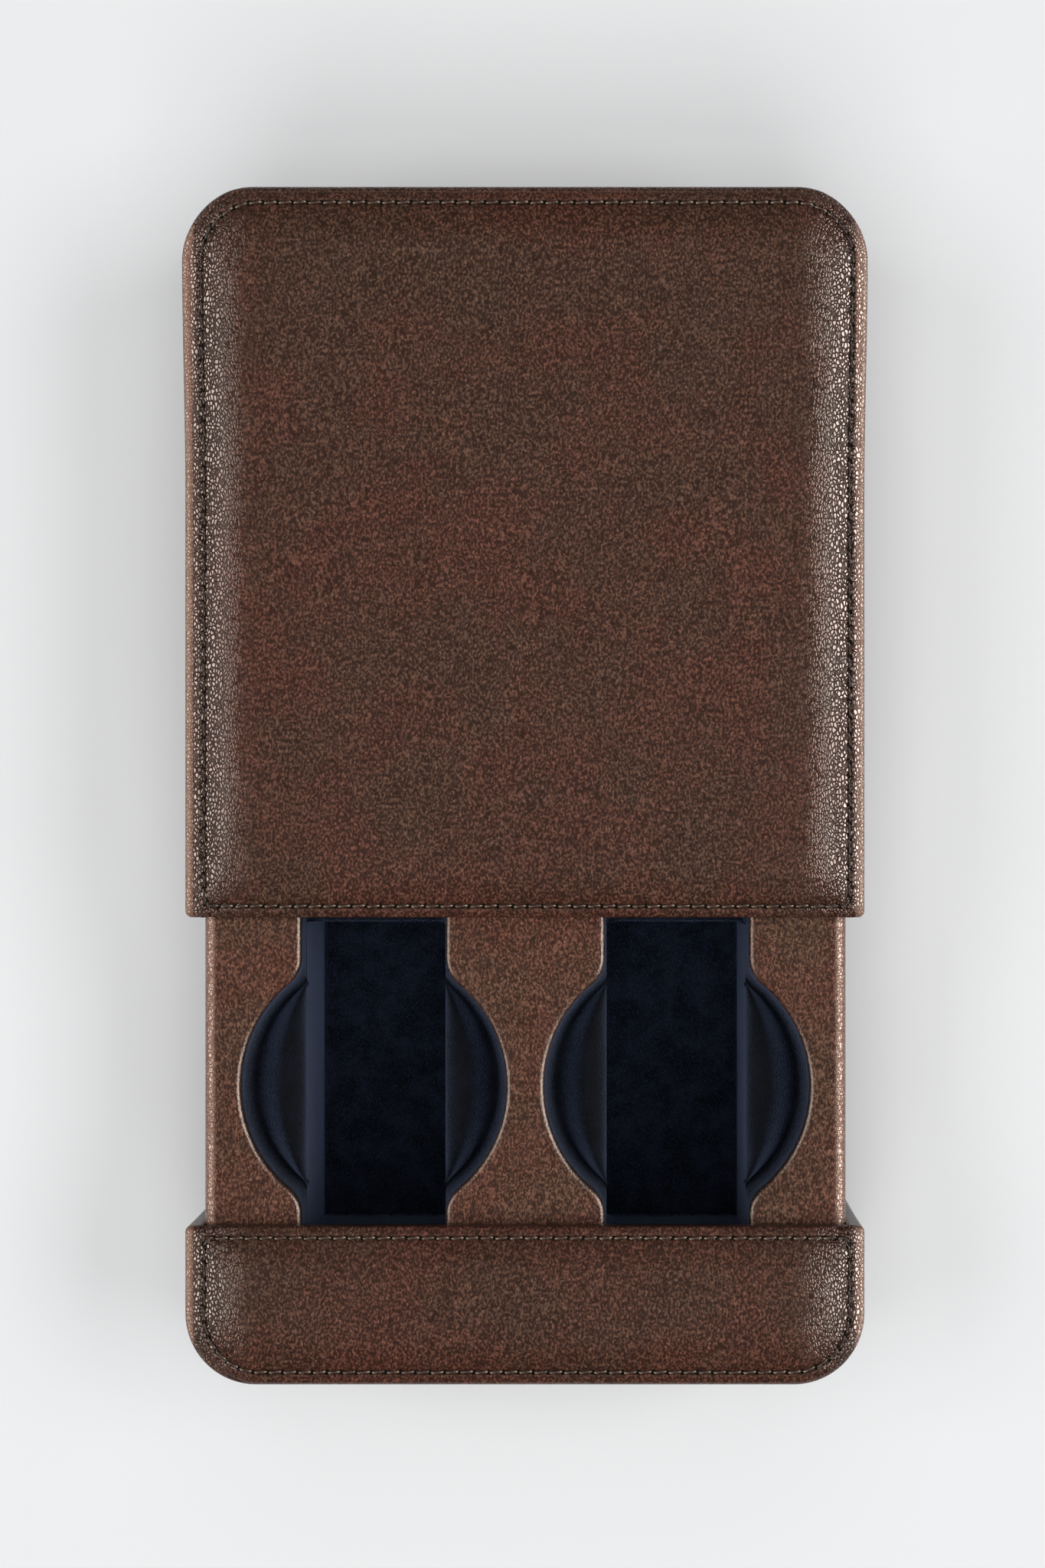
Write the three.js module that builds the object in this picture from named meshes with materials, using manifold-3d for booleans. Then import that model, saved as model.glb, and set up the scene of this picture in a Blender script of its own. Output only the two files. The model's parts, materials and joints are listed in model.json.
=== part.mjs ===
// A sliding leather travel case: a padded sleeve, and a tray with a padded end cap that draws out of it.
// The tray has four keyhole wells in two rows, each with a deep channel under a round head.
// Millimetres. X runs across the case, +Y towards the closed rear of the sleeve, +Z up.
// The origin is the middle of the underside of the case, with the tray drawn out as far as DRAWN_OUT.
import * as THREE from 'three';
import { mergeVertices } from 'three/addons/utils/BufferGeometryUtils.js';
import Module from 'manifold-3d';

// ---- driving dimensions ----

// Overall
const CASE_WIDTH = 125;
const CASE_HEIGHT = 62;
const SLEEVE_LENGTH = 132.5;
const CAP_LENGTH = 29;
const DRAWN_OUT = 56.1; // from the sleeve's mouth to the cap's mouth
const CORNER_RADIUS = 13; // the two upright corners at the closed end of the sleeve, and of the cap
const MOUTH_RADIUS = 1.5; // the same at the mouth

// Layers of the walls
const GLUE = 0.1; // glue line between two layers
const LEATHER = 1; // outside leather, skived
const TRAY_LEATHER = 0.8;
const DECK_LEATHER = 0.9;
const LINING = 0.4;
const VELVET = 0.8;
const COVER_BOARD = 1.8; // stiff board under the padding of the sleeve's top and bottom
const SLEEVE_RAIL = 1.6; // side walls of the sleeve
const CAP_RAIL = 2.4; // the cap's walls are thicker, because the tray is glued into it
const TRAY_BOARD = 1.8;
const FLOOR_BOARD = 2;

// Padded covers
const TOP_CROWN = 3.2; // from the underside of the stitched flange to the crown of the padding
const BOTTOM_CROWN = 2.2;
const FLANGE_WIDTH = 4.4; // flat rim outside the padding, which the stitches run along
const FLANGE_INSET = 0.4; // the side wall stands this far proud of the rim
const ROLL_WIDTH = 8; // width of the rounded shoulder of the padding
const ROLL_SEGMENTS = 3;
const STITCH_INSET = 2.6; // from the rim's edge to the middle of the seam
const THREAD_WIDTH = 0.6;
const THREAD_HEIGHT = 0.4;

// Tray
const TRAY_WIDTH = 117.6;
const TRAY_CORNER_RADIUS = 9;
const TRAY_CLEARANCE_BELOW = 0.6; // sliding clearance between the tray and the sleeve's lining
const TRAY_CLEARANCE_ABOVE = 0.8;
const DECK_THICKNESS = 8.1; // board with the keyhole cut-outs
const DECK_EDGE_RADIUS = 2.3;
const CAP_GAP = 0.2; // between the tray and the cap that is glued round it

// Wells
const WELL_OFFSET = 27.8; // from the middle of the case to the middle of each column of wells
const WELL_PITCH = 68; // from the front row of wells to the rear row
const FRONT_WELL_Y = -54.8;
const HEAD_RADIUS = 24.35; // round head of the keyhole
const CHANNEL_HALF_WIDTH = 13.26;
const WELL_LENGTH = 63.6;
const NECK_RADIUS = 3; // where the head meets the channel
const RIM_TURN = 1.6; // how far the deck leather turns down into a keyhole
const SEAT_GAP = 0.15; // round the velvet tub, to the foam, the boards and the deck
const CHANNEL_TUCK = 0.2; // the channel is narrower than the keyhole by this much on each side

// Outlines
const CURVE_SEGMENTS = 3; // every arc gets twice this many sides
const KEYHOLE_SEGMENTS = 4;

// ---- places worked out from them ----

const HALF_WIDTH = CASE_WIDTH / 2;
const CASE_LENGTH = SLEEVE_LENGTH + DRAWN_OUT + CAP_LENGTH;
const SLEEVE_MOUTH_Y = CASE_LENGTH / 2 - SLEEVE_LENGTH;
const CAP_MOUTH_Y = SLEEVE_MOUTH_Y - DRAWN_OUT;

const TOP_FLANGE_Z = CASE_HEIGHT - TOP_CROWN; // underside of the top flange
const BOTTOM_FLANGE_Z = BOTTOM_CROWN; // upper side of the bottom flange
const LINING_TOP_Z = BOTTOM_FLANGE_Z + GLUE + COVER_BOARD + GLUE + LINING;
const CEILING_Z = TOP_FLANGE_Z - GLUE - COVER_BOARD - GLUE - LINING;
const TRAY_BOTTOM_Z = LINING_TOP_Z + TRAY_CLEARANCE_BELOW;
const FLOOR_BOARD_Z = TRAY_BOTTOM_Z + TRAY_LEATHER + GLUE;
const TRAY_FLOOR_Z = FLOOR_BOARD_Z + FLOOR_BOARD + GLUE; // walls, foam and tubs stand on this
const DECK_TOP_Z = CEILING_Z - TRAY_CLEARANCE_ABOVE;
const DECK_BOARD_TOP_Z = DECK_TOP_Z - DECK_LEATHER - GLUE;
const DECK_BOTTOM_Z = DECK_BOARD_TOP_Z - DECK_THICKNESS;
const SEAT_Z = DECK_BOTTOM_Z - 0.5; // underside of the velvet under the round head
const FOAM_TOP_Z = SEAT_Z - GLUE;

const REAR_WELL_Y = FRONT_WELL_Y + WELL_PITCH;
const TUB_OFFSET = VELVET + 0.05; // outside of the velvet tub, outward from the keyhole outline
const WELL_REACH = WELL_LENGTH / 2 + TUB_OFFSET + SEAT_GAP;
const TRAY_WALL = TRAY_LEATHER + GLUE + TRAY_BOARD;
const TRAY_REAR_Y = REAR_WELL_Y + WELL_REACH + TRAY_WALL;
const FRONT_BOARD_Y = FRONT_WELL_Y - WELL_REACH - TRAY_BOARD;
const TRAY_FRONT_Y = FRONT_BOARD_Y - GLUE;
const DIVIDER_Y = (FRONT_WELL_Y + REAR_WELL_Y) / 2;
const DIVIDER_THICKNESS = WELL_PITCH - 2 * WELL_REACH;

// ---- finishes ----

const brownLeather = new THREE.MeshStandardMaterial({ color: 0x50352c, roughness: 0.5, metalness: 0 });
const deckLeather = new THREE.MeshStandardMaterial({ color: 0x563a31, roughness: 0.55, metalness: 0 });
const navyVelvet = new THREE.MeshStandardMaterial({ color: 0x141b26, roughness: 1, metalness: 0 });
const brownLining = new THREE.MeshStandardMaterial({ color: 0x3a2a24, roughness: 0.95, metalness: 0 });
const oliveThread = new THREE.MeshStandardMaterial({ color: 0x6d5b45, roughness: 0.8, metalness: 0 });
const greyBoard = new THREE.MeshStandardMaterial({ color: 0x8d8578, roughness: 0.9, metalness: 0 });
const paleWood = new THREE.MeshStandardMaterial({ color: 0xb0895c, roughness: 0.7, metalness: 0 });
const creamFoam = new THREE.MeshStandardMaterial({ color: 0xd8d2bd, roughness: 1, metalness: 0 });

// ---- solids ----

const manifold = await Module();
manifold.setup();

// A closed geometry as a solid that can be joined and cut
function solidOf(geometry) {
  const bare = new THREE.BufferGeometry();
  bare.setAttribute('position', geometry.getAttribute('position').clone());
  if (geometry.index) bare.setIndex(geometry.index.clone());
  const merged = mergeVertices(bare, 1e-4);
  const vertProperties = new Float32Array(merged.getAttribute('position').array);
  const triVerts = new Uint32Array(merged.index.array);
  return new manifold.Manifold(new manifold.Mesh({ numProp: 3, vertProperties, triVerts }));
}

function geometryOf(solid) {
  const mesh = solid.getMesh();
  const geometry = new THREE.BufferGeometry();
  geometry.setAttribute('position', new THREE.BufferAttribute(new Float32Array(mesh.vertProperties), 3));
  geometry.setIndex(new THREE.BufferAttribute(new Uint32Array(mesh.triVerts), 1));
  geometry.computeVertexNormals();
  return geometry;
}

// An outline carried straight up from low to high
function slab(outline, low, high, curveSegments = CURVE_SEGMENTS) {
  const geometry = new THREE.ExtrudeGeometry(outline, { depth: high - low, bevelEnabled: false, curveSegments });
  return geometry.translate(0, 0, low);
}

function block(xLow, xHigh, yLow, yHigh, zLow, zHigh) {
  const geometry = new THREE.BoxGeometry(xHigh - xLow, yHigh - yLow, zHigh - zLow);
  return geometry.translate((xLow + xHigh) / 2, (yLow + yHigh) / 2, (zLow + zHigh) / 2);
}

// A slab whose upper edge is rounded: it falls by rise over the width roll
function crownedSlab(outline, low, high, rise, roll) {
  const spare = 1;
  const options = {
    depth: high - rise - low + spare,
    bevelEnabled: true,
    bevelThickness: rise,
    bevelSize: roll,
    bevelOffset: -roll,
    bevelSegments: ROLL_SEGMENTS,
    curveSegments: CURVE_SEGMENTS,
  };
  const whole = new THREE.ExtrudeGeometry(outline, options).translate(0, 0, low - spare);
  const reach = 2 * CASE_LENGTH;
  const below = block(-reach, reach, -reach, reach, low - reach, low);
  return solidOf(whole).subtract(solidOf(below));
}

// ---- outlines ----

// A plate from yLow to yHigh, with one radius for the corners at each end; 0 leaves them square
function plateOutline(halfWidth, yLow, yHigh, lowRadius, highRadius) {
  const outline = new THREE.Shape();
  outline.moveTo(halfWidth, yLow + lowRadius);
  outline.lineTo(halfWidth, yHigh - highRadius);
  if (highRadius > 0) {
    outline.absarc(halfWidth - highRadius, yHigh - highRadius, highRadius, 0, Math.PI / 2, false);
  }
  outline.lineTo(-halfWidth + highRadius, yHigh);
  if (highRadius > 0) {
    outline.absarc(-halfWidth + highRadius, yHigh - highRadius, highRadius, Math.PI / 2, Math.PI, false);
  }
  outline.lineTo(-halfWidth, yLow + lowRadius);
  if (lowRadius > 0) {
    outline.absarc(-halfWidth + lowRadius, yLow + lowRadius, lowRadius, Math.PI, 1.5 * Math.PI, false);
  }
  outline.lineTo(halfWidth - lowRadius, yLow);
  if (lowRadius > 0) {
    outline.absarc(halfWidth - lowRadius, yLow + lowRadius, lowRadius, 1.5 * Math.PI, 2 * Math.PI, false);
  }
  return outline;
}

// A wall that runs up one side, round the closed end at yHigh and down the other side.
// hook is how far each end turns inward at the open side, with the wall's own thickness.
function wallOutline(halfWidth, yLow, yHigh, radius, thickness, hook = 0) {
  const inner = halfWidth - thickness;
  const innerRadius = radius - thickness;
  const centreX = halfWidth - radius;
  const centreY = yHigh - radius;
  const outline = new THREE.Shape();
  outline.moveTo(halfWidth, yLow);
  outline.lineTo(halfWidth, centreY);
  outline.absarc(centreX, centreY, radius, 0, Math.PI / 2, false);
  outline.absarc(-centreX, centreY, radius, Math.PI / 2, Math.PI, false);
  outline.lineTo(-halfWidth, yLow);
  if (hook > 0) {
    outline.lineTo(-halfWidth + hook, yLow);
    outline.lineTo(-halfWidth + hook, yLow + thickness);
    outline.lineTo(-inner, yLow + thickness);
  } else {
    outline.lineTo(-inner, yLow);
  }
  outline.absarc(-centreX, centreY, innerRadius, Math.PI, Math.PI / 2, true);
  outline.absarc(centreX, centreY, innerRadius, Math.PI / 2, 0, true);
  if (hook > 0) {
    outline.lineTo(inner, yLow + thickness);
    outline.lineTo(halfWidth - hook, yLow + thickness);
    outline.lineTo(halfWidth - hook, yLow);
  } else {
    outline.lineTo(inner, yLow);
  }
  return outline;
}

// A quarter of a ring, for the inside of a rounded corner; side is 1 on the right and -1 on the left
function cornerOutline(side, centreX, centreY, outerRadius, innerRadius) {
  const start = side > 0 ? 0 : Math.PI / 2;
  const end = start + Math.PI / 2;
  const outline = new THREE.Shape();
  outline.absarc(side * centreX, centreY, outerRadius, start, end, false);
  outline.absarc(side * centreX, centreY, innerRadius, end, start, true);
  return outline;
}

// The keyhole of a well: a channel along Y with a round head across its middle.
// The neck where they meet is an arc that touches both. offset moves the whole outline outward.
function keyhole(x, y, offset) {
  const radius = HEAD_RADIUS + offset;
  const half = CHANNEL_HALF_WIDTH + offset;
  const reach = WELL_LENGTH / 2 + offset;
  const neck = NECK_RADIUS - offset;
  const neckY = Math.sqrt((radius + neck) ** 2 - (half + neck) ** 2);
  const turn = Math.atan2(neckY, half + neck);
  const outline = new THREE.Shape();
  outline.moveTo(x + half, y - reach);
  outline.lineTo(x + half, y - neckY);
  outline.absarc(x + half + neck, y - neckY, neck, Math.PI, Math.PI - turn, true);
  outline.absarc(x, y, radius, -turn, turn, false);
  outline.absarc(x + half + neck, y + neckY, neck, Math.PI + turn, Math.PI, true);
  outline.lineTo(x + half, y + reach);
  outline.lineTo(x - half, y + reach);
  outline.absarc(x - half - neck, y + neckY, neck, 0, -turn, true);
  outline.absarc(x, y, radius, Math.PI - turn, Math.PI + turn, false);
  outline.absarc(x - half - neck, y - neckY, neck, turn, 0, true);
  outline.lineTo(x - half, y - reach);
  return outline;
}

// ---- naming ----

function addPart(group, name, shape, material) {
  const geometry = shape.isBufferGeometry ? shape : geometryOf(shape);
  const mesh = new THREE.Mesh(geometry, material);
  mesh.name = name;
  group.add(mesh);
}

// ---- padded covers ----

// One padded face of the sleeve or the cap, in a frame of its own: the mouth at y 0, the underside of
// the flange at z 0 and the crown above it. Leather over foam over board, with a seam round the rim.
// The leather turns down over the mouth by lip, to hide the edges of the board and the lining.
function paddedCover(prefix, length, crown, board, lip) {
  const cover = new THREE.Group();
  const rimHalf = HALF_WIDTH - FLANGE_INSET;
  const rimEnd = length - FLANGE_INSET;
  const rimRadius = CORNER_RADIUS - FLANGE_INSET;
  const rise = crown - LEATHER;

  const padOutline = (inset) => plateOutline(
    rimHalf - FLANGE_WIDTH - inset,
    FLANGE_WIDTH + inset,
    rimEnd - FLANGE_WIDTH - inset,
    0,
    rimRadius - FLANGE_WIDTH - inset,
  );
  const roll = Math.min(ROLL_WIDTH, rimRadius - FLANGE_WIDTH - LEATHER);

  const flange = solidOf(slab(plateOutline(rimHalf, 0, rimEnd, MOUTH_RADIUS, rimRadius), 0, LEATHER));
  const bulge = crownedSlab(padOutline(0), 0, crown, rise, roll);
  const hollow = crownedSlab(padOutline(LEATHER), -1, rise, rise, roll - 2 * LEATHER);
  const lipHalf = HALF_WIDTH - LEATHER - GLUE - CAP_RAIL - GLUE;
  const turnedLip = solidOf(block(-lipHalf, lipHalf, 0, LEATHER, -lip, LEATHER / 2));
  addPart(cover, `${prefix}_leather`, flange.add(bulge).subtract(hollow).add(turnedLip), brownLeather);

  const foam = crownedSlab(padOutline(LEATHER + GLUE), 0, rise - GLUE, rise - GLUE, roll - 2 * LEATHER);
  addPart(cover, `${prefix}_padding`, foam, creamFoam);

  const boardInset = LEATHER + GLUE;
  const boardOutline = plateOutline(
    HALF_WIDTH - boardInset,
    boardInset,
    length - boardInset,
    0,
    CORNER_RADIUS - boardInset,
  );
  addPart(cover, `${prefix}_board`, slab(boardOutline, -GLUE - board, -GLUE), greyBoard);

  const seam = (inset) => plateOutline(
    rimHalf - inset,
    inset,
    rimEnd - inset,
    MOUTH_RADIUS,
    rimRadius - inset,
  );
  const seamBand = seam(STITCH_INSET - THREAD_WIDTH / 2);
  seamBand.holes.push(seam(STITCH_INSET + THREAD_WIDTH / 2));
  const threadLow = LEATHER + GLUE / 2;
  addPart(cover, `${prefix}_thread`, slab(seamBand, threadLow, threadLow + THREAD_HEIGHT), oliveThread);
  return cover;
}

// ---- a shell: two padded covers joined by a leather-covered wall round three sides ----

// In a frame of its own: the mouth at y 0 and the closed end at y length.
// left is -1 or 1, the side of this frame that is the case's left.
function shell(prefix, length, rail, topBoard, bottomBoard, lining, left, endName) {
  const group = new THREE.Group();
  const liningDepth = lining ? GLUE + LINING : 0;

  const top = paddedCover(`${prefix}_top`, length, TOP_CROWN, topBoard, GLUE + topBoard + liningDepth);
  top.position.z = TOP_FLANGE_Z;
  const bottomLip = GLUE + bottomBoard + liningDepth;
  const bottom = paddedCover(`${prefix}_bottom`, length, BOTTOM_CROWN, bottomBoard, bottomLip);
  bottom.rotation.y = Math.PI;
  bottom.position.z = BOTTOM_FLANGE_Z;
  group.add(top, bottom);

  const wallLow = BOTTOM_FLANGE_Z + GLUE;
  const wallHigh = TOP_FLANGE_Z - GLUE;
  const hook = LEATHER + GLUE + rail;
  const skin = wallOutline(HALF_WIDTH, 0, length, CORNER_RADIUS, LEATHER, hook);
  addPart(group, `${prefix}_gusset_leather`, slab(skin, wallLow, wallHigh), brownLeather);

  const railLow = wallLow + bottomBoard + GLUE;
  const railHigh = wallHigh - topBoard - GLUE;
  const outer = HALF_WIDTH - LEATHER - GLUE;
  const inner = outer - rail;
  const centreX = HALF_WIDTH - CORNER_RADIUS;
  const centreY = length - CORNER_RADIUS;
  const railStart = LEATHER + GLUE;
  const railEnd = centreY - GLUE;
  const end = length - LEATHER - GLUE;
  for (const [name, side] of [['left', left], ['right', -left]]) {
    const xLow = Math.min(side * inner, side * outer);
    const xHigh = Math.max(side * inner, side * outer);
    addPart(group, `${prefix}_${name}_rail`, block(xLow, xHigh, railStart, railEnd, railLow, railHigh), greyBoard);
    const ring = cornerOutline(side, centreX, centreY, CORNER_RADIUS - railStart, CORNER_RADIUS - railStart - rail);
    addPart(group, `${prefix}_${name}_corner`, slab(ring, railLow, railHigh), paleWood);
  }
  const endHalf = centreX - GLUE;
  const endRail = block(-endHalf, endHalf, end - rail, end, railLow, railHigh);
  addPart(group, `${prefix}_${endName}_rail`, endRail, greyBoard);

  if (lining) {
    const reach = inner - GLUE;
    const liningEnd = end - rail - GLUE;
    const liningRadius = CORNER_RADIUS - (HALF_WIDTH - reach);
    const band = wallOutline(reach, railStart, liningEnd, liningRadius, LINING);
    addPart(group, `${prefix}_side_lining`, slab(band, railLow, railHigh), brownLining);
    const within = LINING + GLUE;
    const sheet = plateOutline(reach - within, railStart, liningEnd - within, 0, liningRadius - within);
    addPart(group, `${prefix}_top_lining`, slab(sheet, CEILING_Z, CEILING_Z + LINING), brownLining);
    addPart(group, `${prefix}_bottom_lining`, slab(sheet, LINING_TOP_Z - LINING, LINING_TOP_Z), brownLining);
  }
  return group;
}

// ---- sleeve ----

const sleeve = shell('sleeve', SLEEVE_LENGTH, SLEEVE_RAIL, COVER_BOARD, COVER_BOARD, true, -1, 'rear');
sleeve.position.y = SLEEVE_MOUTH_Y;

// ---- cap ----

// The cap is the same construction turned end for end, with boards thick enough to grip the tray.
const capTopBoard = TOP_FLANGE_Z - GLUE - DECK_TOP_Z - CAP_GAP;
const capBottomBoard = TRAY_BOTTOM_Z - CAP_GAP - BOTTOM_FLANGE_Z - GLUE;
const cap = shell('cap', CAP_LENGTH, CAP_RAIL, capTopBoard, capBottomBoard, false, 1, 'front');
cap.rotation.z = Math.PI;
cap.position.y = CAP_MOUTH_Y;

// ---- tray ----

const tray = new THREE.Group();
const trayHalf = TRAY_WIDTH / 2;

function trayOutline(inset, frontInset = inset) {
  const rearRadius = TRAY_CORNER_RADIUS - inset;
  return plateOutline(trayHalf - inset, TRAY_FRONT_Y + frontInset, TRAY_REAR_Y - inset, 0, rearRadius);
}

const underLeather = slab(trayOutline(0), TRAY_BOTTOM_Z, TRAY_BOTTOM_Z + TRAY_LEATHER);
addPart(tray, 'tray_bottom_leather', underLeather, brownLeather);
const sideBand = wallOutline(trayHalf, TRAY_FRONT_Y, TRAY_REAR_Y, TRAY_CORNER_RADIUS, TRAY_LEATHER);
addPart(tray, 'tray_side_leather', slab(sideBand, FLOOR_BOARD_Z, DECK_BOTTOM_Z - GLUE), brownLeather);
const boardInset = TRAY_LEATHER + GLUE;
const floorBoard = slab(trayOutline(boardInset, 0), FLOOR_BOARD_Z, FLOOR_BOARD_Z + FLOOR_BOARD);
addPart(tray, 'tray_floor_board', floorBoard, greyBoard);

// Walls of the tray's box: straight boards with a bent piece at each rear corner
const wallTopZ = DECK_BOTTOM_Z - GLUE;
const wallOuter = trayHalf - boardInset;
const wallInner = wallOuter - TRAY_BOARD;
const foamReach = wallInner - GLUE;
const cornerX = trayHalf - TRAY_CORNER_RADIUS;
const cornerY = TRAY_REAR_Y - TRAY_CORNER_RADIUS;
const bendOuter = TRAY_CORNER_RADIUS - boardInset;
const bendInner = bendOuter - TRAY_BOARD;
for (const [name, side] of [['left', -1], ['right', 1]]) {
  const xLow = Math.min(side * wallInner, side * wallOuter);
  const xHigh = Math.max(side * wallInner, side * wallOuter);
  const board = block(xLow, xHigh, TRAY_FRONT_Y, cornerY - GLUE, TRAY_FLOOR_Z, wallTopZ);
  addPart(tray, `tray_${name}_board`, board, greyBoard);
  const bend = cornerOutline(side, cornerX, cornerY, bendOuter, bendInner);
  addPart(tray, `tray_${name}_corner`, slab(bend, TRAY_FLOOR_Z, wallTopZ), greyBoard);
}
const rearOuterY = TRAY_REAR_Y - boardInset;
const rearInnerY = rearOuterY - TRAY_BOARD;
const rearHalf = cornerX - GLUE;
const rearBoard = block(-rearHalf, rearHalf, rearInnerY, rearOuterY, TRAY_FLOOR_Z, wallTopZ);
addPart(tray, 'tray_rear_board', rearBoard, greyBoard);
const frontBoardRear = FRONT_BOARD_Y + TRAY_BOARD - GLUE;
const frontBoard = block(-foamReach, foamReach, FRONT_BOARD_Y, frontBoardRear, TRAY_FLOOR_Z, wallTopZ);
addPart(tray, 'tray_front_board', frontBoard, greyBoard);
const dividerLow = DIVIDER_Y - DIVIDER_THICKNESS / 2;
const dividerHigh = DIVIDER_Y + DIVIDER_THICKNESS / 2;
const divider = block(-foamReach, foamReach, dividerLow, dividerHigh, TRAY_FLOOR_Z, wallTopZ);
addPart(tray, 'tray_cross_divider', divider, greyBoard);

// Foam that fills the box on both sides of each channel and holds up the round seats
const channelClear = CHANNEL_HALF_WIDTH + TUB_OFFSET + SEAT_GAP;
const outerBlockInner = WELL_OFFSET + channelClear;
const centreBlockHalf = WELL_OFFSET - channelClear;
const rows = [
  ['front', frontBoardRear + GLUE, dividerLow - GLUE, 0],
  ['rear', dividerHigh + GLUE, rearInnerY - GLUE, bendInner - GLUE],
];
for (const [row, yLow, yHigh, cornerRadius] of rows) {
  for (const [name, side] of [['left', -1], ['right', 1]]) {
    const filled = plateOutline(foamReach, yLow, yHigh, 0, cornerRadius);
    const away = side > 0 ? -foamReach - 1 : -outerBlockInner;
    const spareSide = block(away, away + foamReach + 1 + outerBlockInner, yLow - 1, yHigh + 1, 0, CASE_HEIGHT);
    const foam = solidOf(slab(filled, TRAY_FLOOR_Z, FOAM_TOP_Z)).subtract(solidOf(spareSide));
    addPart(tray, `tray_${name}_foam_${row}`, foam, creamFoam);
  }
  const centre = block(-centreBlockHalf, centreBlockHalf, yLow, yHigh, TRAY_FLOOR_Z, FOAM_TOP_Z);
  addPart(tray, `tray_centre_foam_${row}`, centre, creamFoam);
}

// Deck: a thick board with four keyholes, wrapped in leather that turns down into each of them
const wells = [
  ['front_left', -WELL_OFFSET, FRONT_WELL_Y],
  ['front_right', WELL_OFFSET, FRONT_WELL_Y],
  ['rear_left', -WELL_OFFSET, REAR_WELL_Y],
  ['rear_right', WELL_OFFSET, REAR_WELL_Y],
];
const through = DECK_BOTTOM_Z - 1;
const above = CASE_HEIGHT;
const deckInset = DECK_LEATHER + GLUE;
const boardRoll = DECK_EDGE_RADIUS - deckInset;
const skinRoll = DECK_EDGE_RADIUS - DECK_LEATHER;
let deckBoard = crownedSlab(trayOutline(deckInset), DECK_BOTTOM_Z, DECK_BOARD_TOP_Z, boardRoll, boardRoll);
const wrap = crownedSlab(trayOutline(0), DECK_BOTTOM_Z, DECK_TOP_Z, DECK_EDGE_RADIUS, DECK_EDGE_RADIUS);
const wrapInside = crownedSlab(trayOutline(DECK_LEATHER), through, DECK_TOP_Z - DECK_LEATHER, skinRoll, skinRoll);
let deckSkin = wrap.subtract(wrapInside);
const rimBottomZ = DECK_BOARD_TOP_Z - RIM_TURN;
for (const [, x, y] of wells) {
  const cut = (offset, low, high) => solidOf(slab(keyhole(x, y, offset), low, high, KEYHOLE_SEGMENTS));
  deckBoard = deckBoard.subtract(cut(deckInset, through, above));
  deckSkin = deckSkin.add(cut(DECK_LEATHER, rimBottomZ, DECK_TOP_Z - DECK_LEATHER / 2));
  deckSkin = deckSkin.subtract(cut(0, through, above));
}
addPart(tray, 'tray_deck_board', deckBoard, paleWood);
addPart(tray, 'tray_deck_leather', deckSkin, deckLeather);

// Velvet tub in each well: a shallow round-headed seat with the deep channel down through it
const tubTopZ = rimBottomZ - GLUE;
for (const [name, x, y] of wells) {
  const keyholeSolid = (offset, low, high) => solidOf(slab(keyhole(x, y, offset), low, high, KEYHOLE_SEGMENTS));
  const channelSolid = (offset, low, high) => {
    const half = CHANNEL_HALF_WIDTH + offset;
    const reach = WELL_LENGTH / 2 + offset;
    return solidOf(block(x - half, x + half, y - reach, y + reach, low, high));
  };
  const seat = keyholeSolid(TUB_OFFSET, SEAT_Z, tubTopZ);
  const seatInside = keyholeSolid(TUB_OFFSET - VELVET, SEAT_Z + VELVET, above);
  const channelOffset = TUB_OFFSET - CHANNEL_TUCK;
  const channel = channelSolid(channelOffset, TRAY_FLOOR_Z, SEAT_Z + VELVET / 2);
  const channelInside = channelSolid(channelOffset - VELVET, TRAY_FLOOR_Z + VELVET, DECK_TOP_Z);
  const tub = seat.add(channel).subtract(seatInside).subtract(channelInside);
  addPart(tray, `well_lining_${name}`, tub, navyVelvet);
}

// Block glued between the tray's front board and the inside of the cap
const fillerFrontY = CAP_MOUTH_Y - CAP_LENGTH + LEATHER + GLUE + CAP_RAIL + CAP_GAP;
const fillerRearY = TRAY_FRONT_Y - CAP_GAP;
const fillerRadius = CORNER_RADIUS - LEATHER - GLUE - CAP_RAIL - CAP_GAP;
const fillerOutline = plateOutline(trayHalf, fillerFrontY, fillerRearY, fillerRadius, 0);
addPart(tray, 'cap_filler_block', slab(fillerOutline, TRAY_BOTTOM_Z, DECK_TOP_Z), paleWood);

const travelCase = new THREE.Group();
travelCase.name = 'sliding_travel_case';
travelCase.add(sleeve, cap, tray);

export default travelCase;
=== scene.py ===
# A sliding travel case for four watches: a padded leather sleeve, and a velvet-lined tray with a padded
# cap that draws out of it. The file follows the case as it is made up: the cover leathers and their
# seams, the side walls, then the tray's deck, its wells, and last what is inside the walls.
import json
import math
import bmesh
import bpy
import numpy as np
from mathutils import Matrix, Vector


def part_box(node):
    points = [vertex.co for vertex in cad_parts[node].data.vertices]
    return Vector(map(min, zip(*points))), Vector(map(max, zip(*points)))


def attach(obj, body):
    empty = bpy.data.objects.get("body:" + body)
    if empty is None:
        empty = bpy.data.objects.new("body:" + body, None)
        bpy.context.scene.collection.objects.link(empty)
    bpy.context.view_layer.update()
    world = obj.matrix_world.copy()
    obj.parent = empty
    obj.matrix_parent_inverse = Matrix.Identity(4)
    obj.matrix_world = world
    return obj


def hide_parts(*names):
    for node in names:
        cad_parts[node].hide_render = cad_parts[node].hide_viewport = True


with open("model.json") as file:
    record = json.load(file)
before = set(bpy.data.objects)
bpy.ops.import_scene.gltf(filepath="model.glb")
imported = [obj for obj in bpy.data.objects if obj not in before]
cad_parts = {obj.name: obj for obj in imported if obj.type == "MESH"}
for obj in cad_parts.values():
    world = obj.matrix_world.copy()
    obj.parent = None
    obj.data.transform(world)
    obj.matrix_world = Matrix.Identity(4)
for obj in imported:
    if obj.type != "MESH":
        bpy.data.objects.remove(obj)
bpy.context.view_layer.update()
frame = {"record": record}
MM = 0.001


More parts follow.
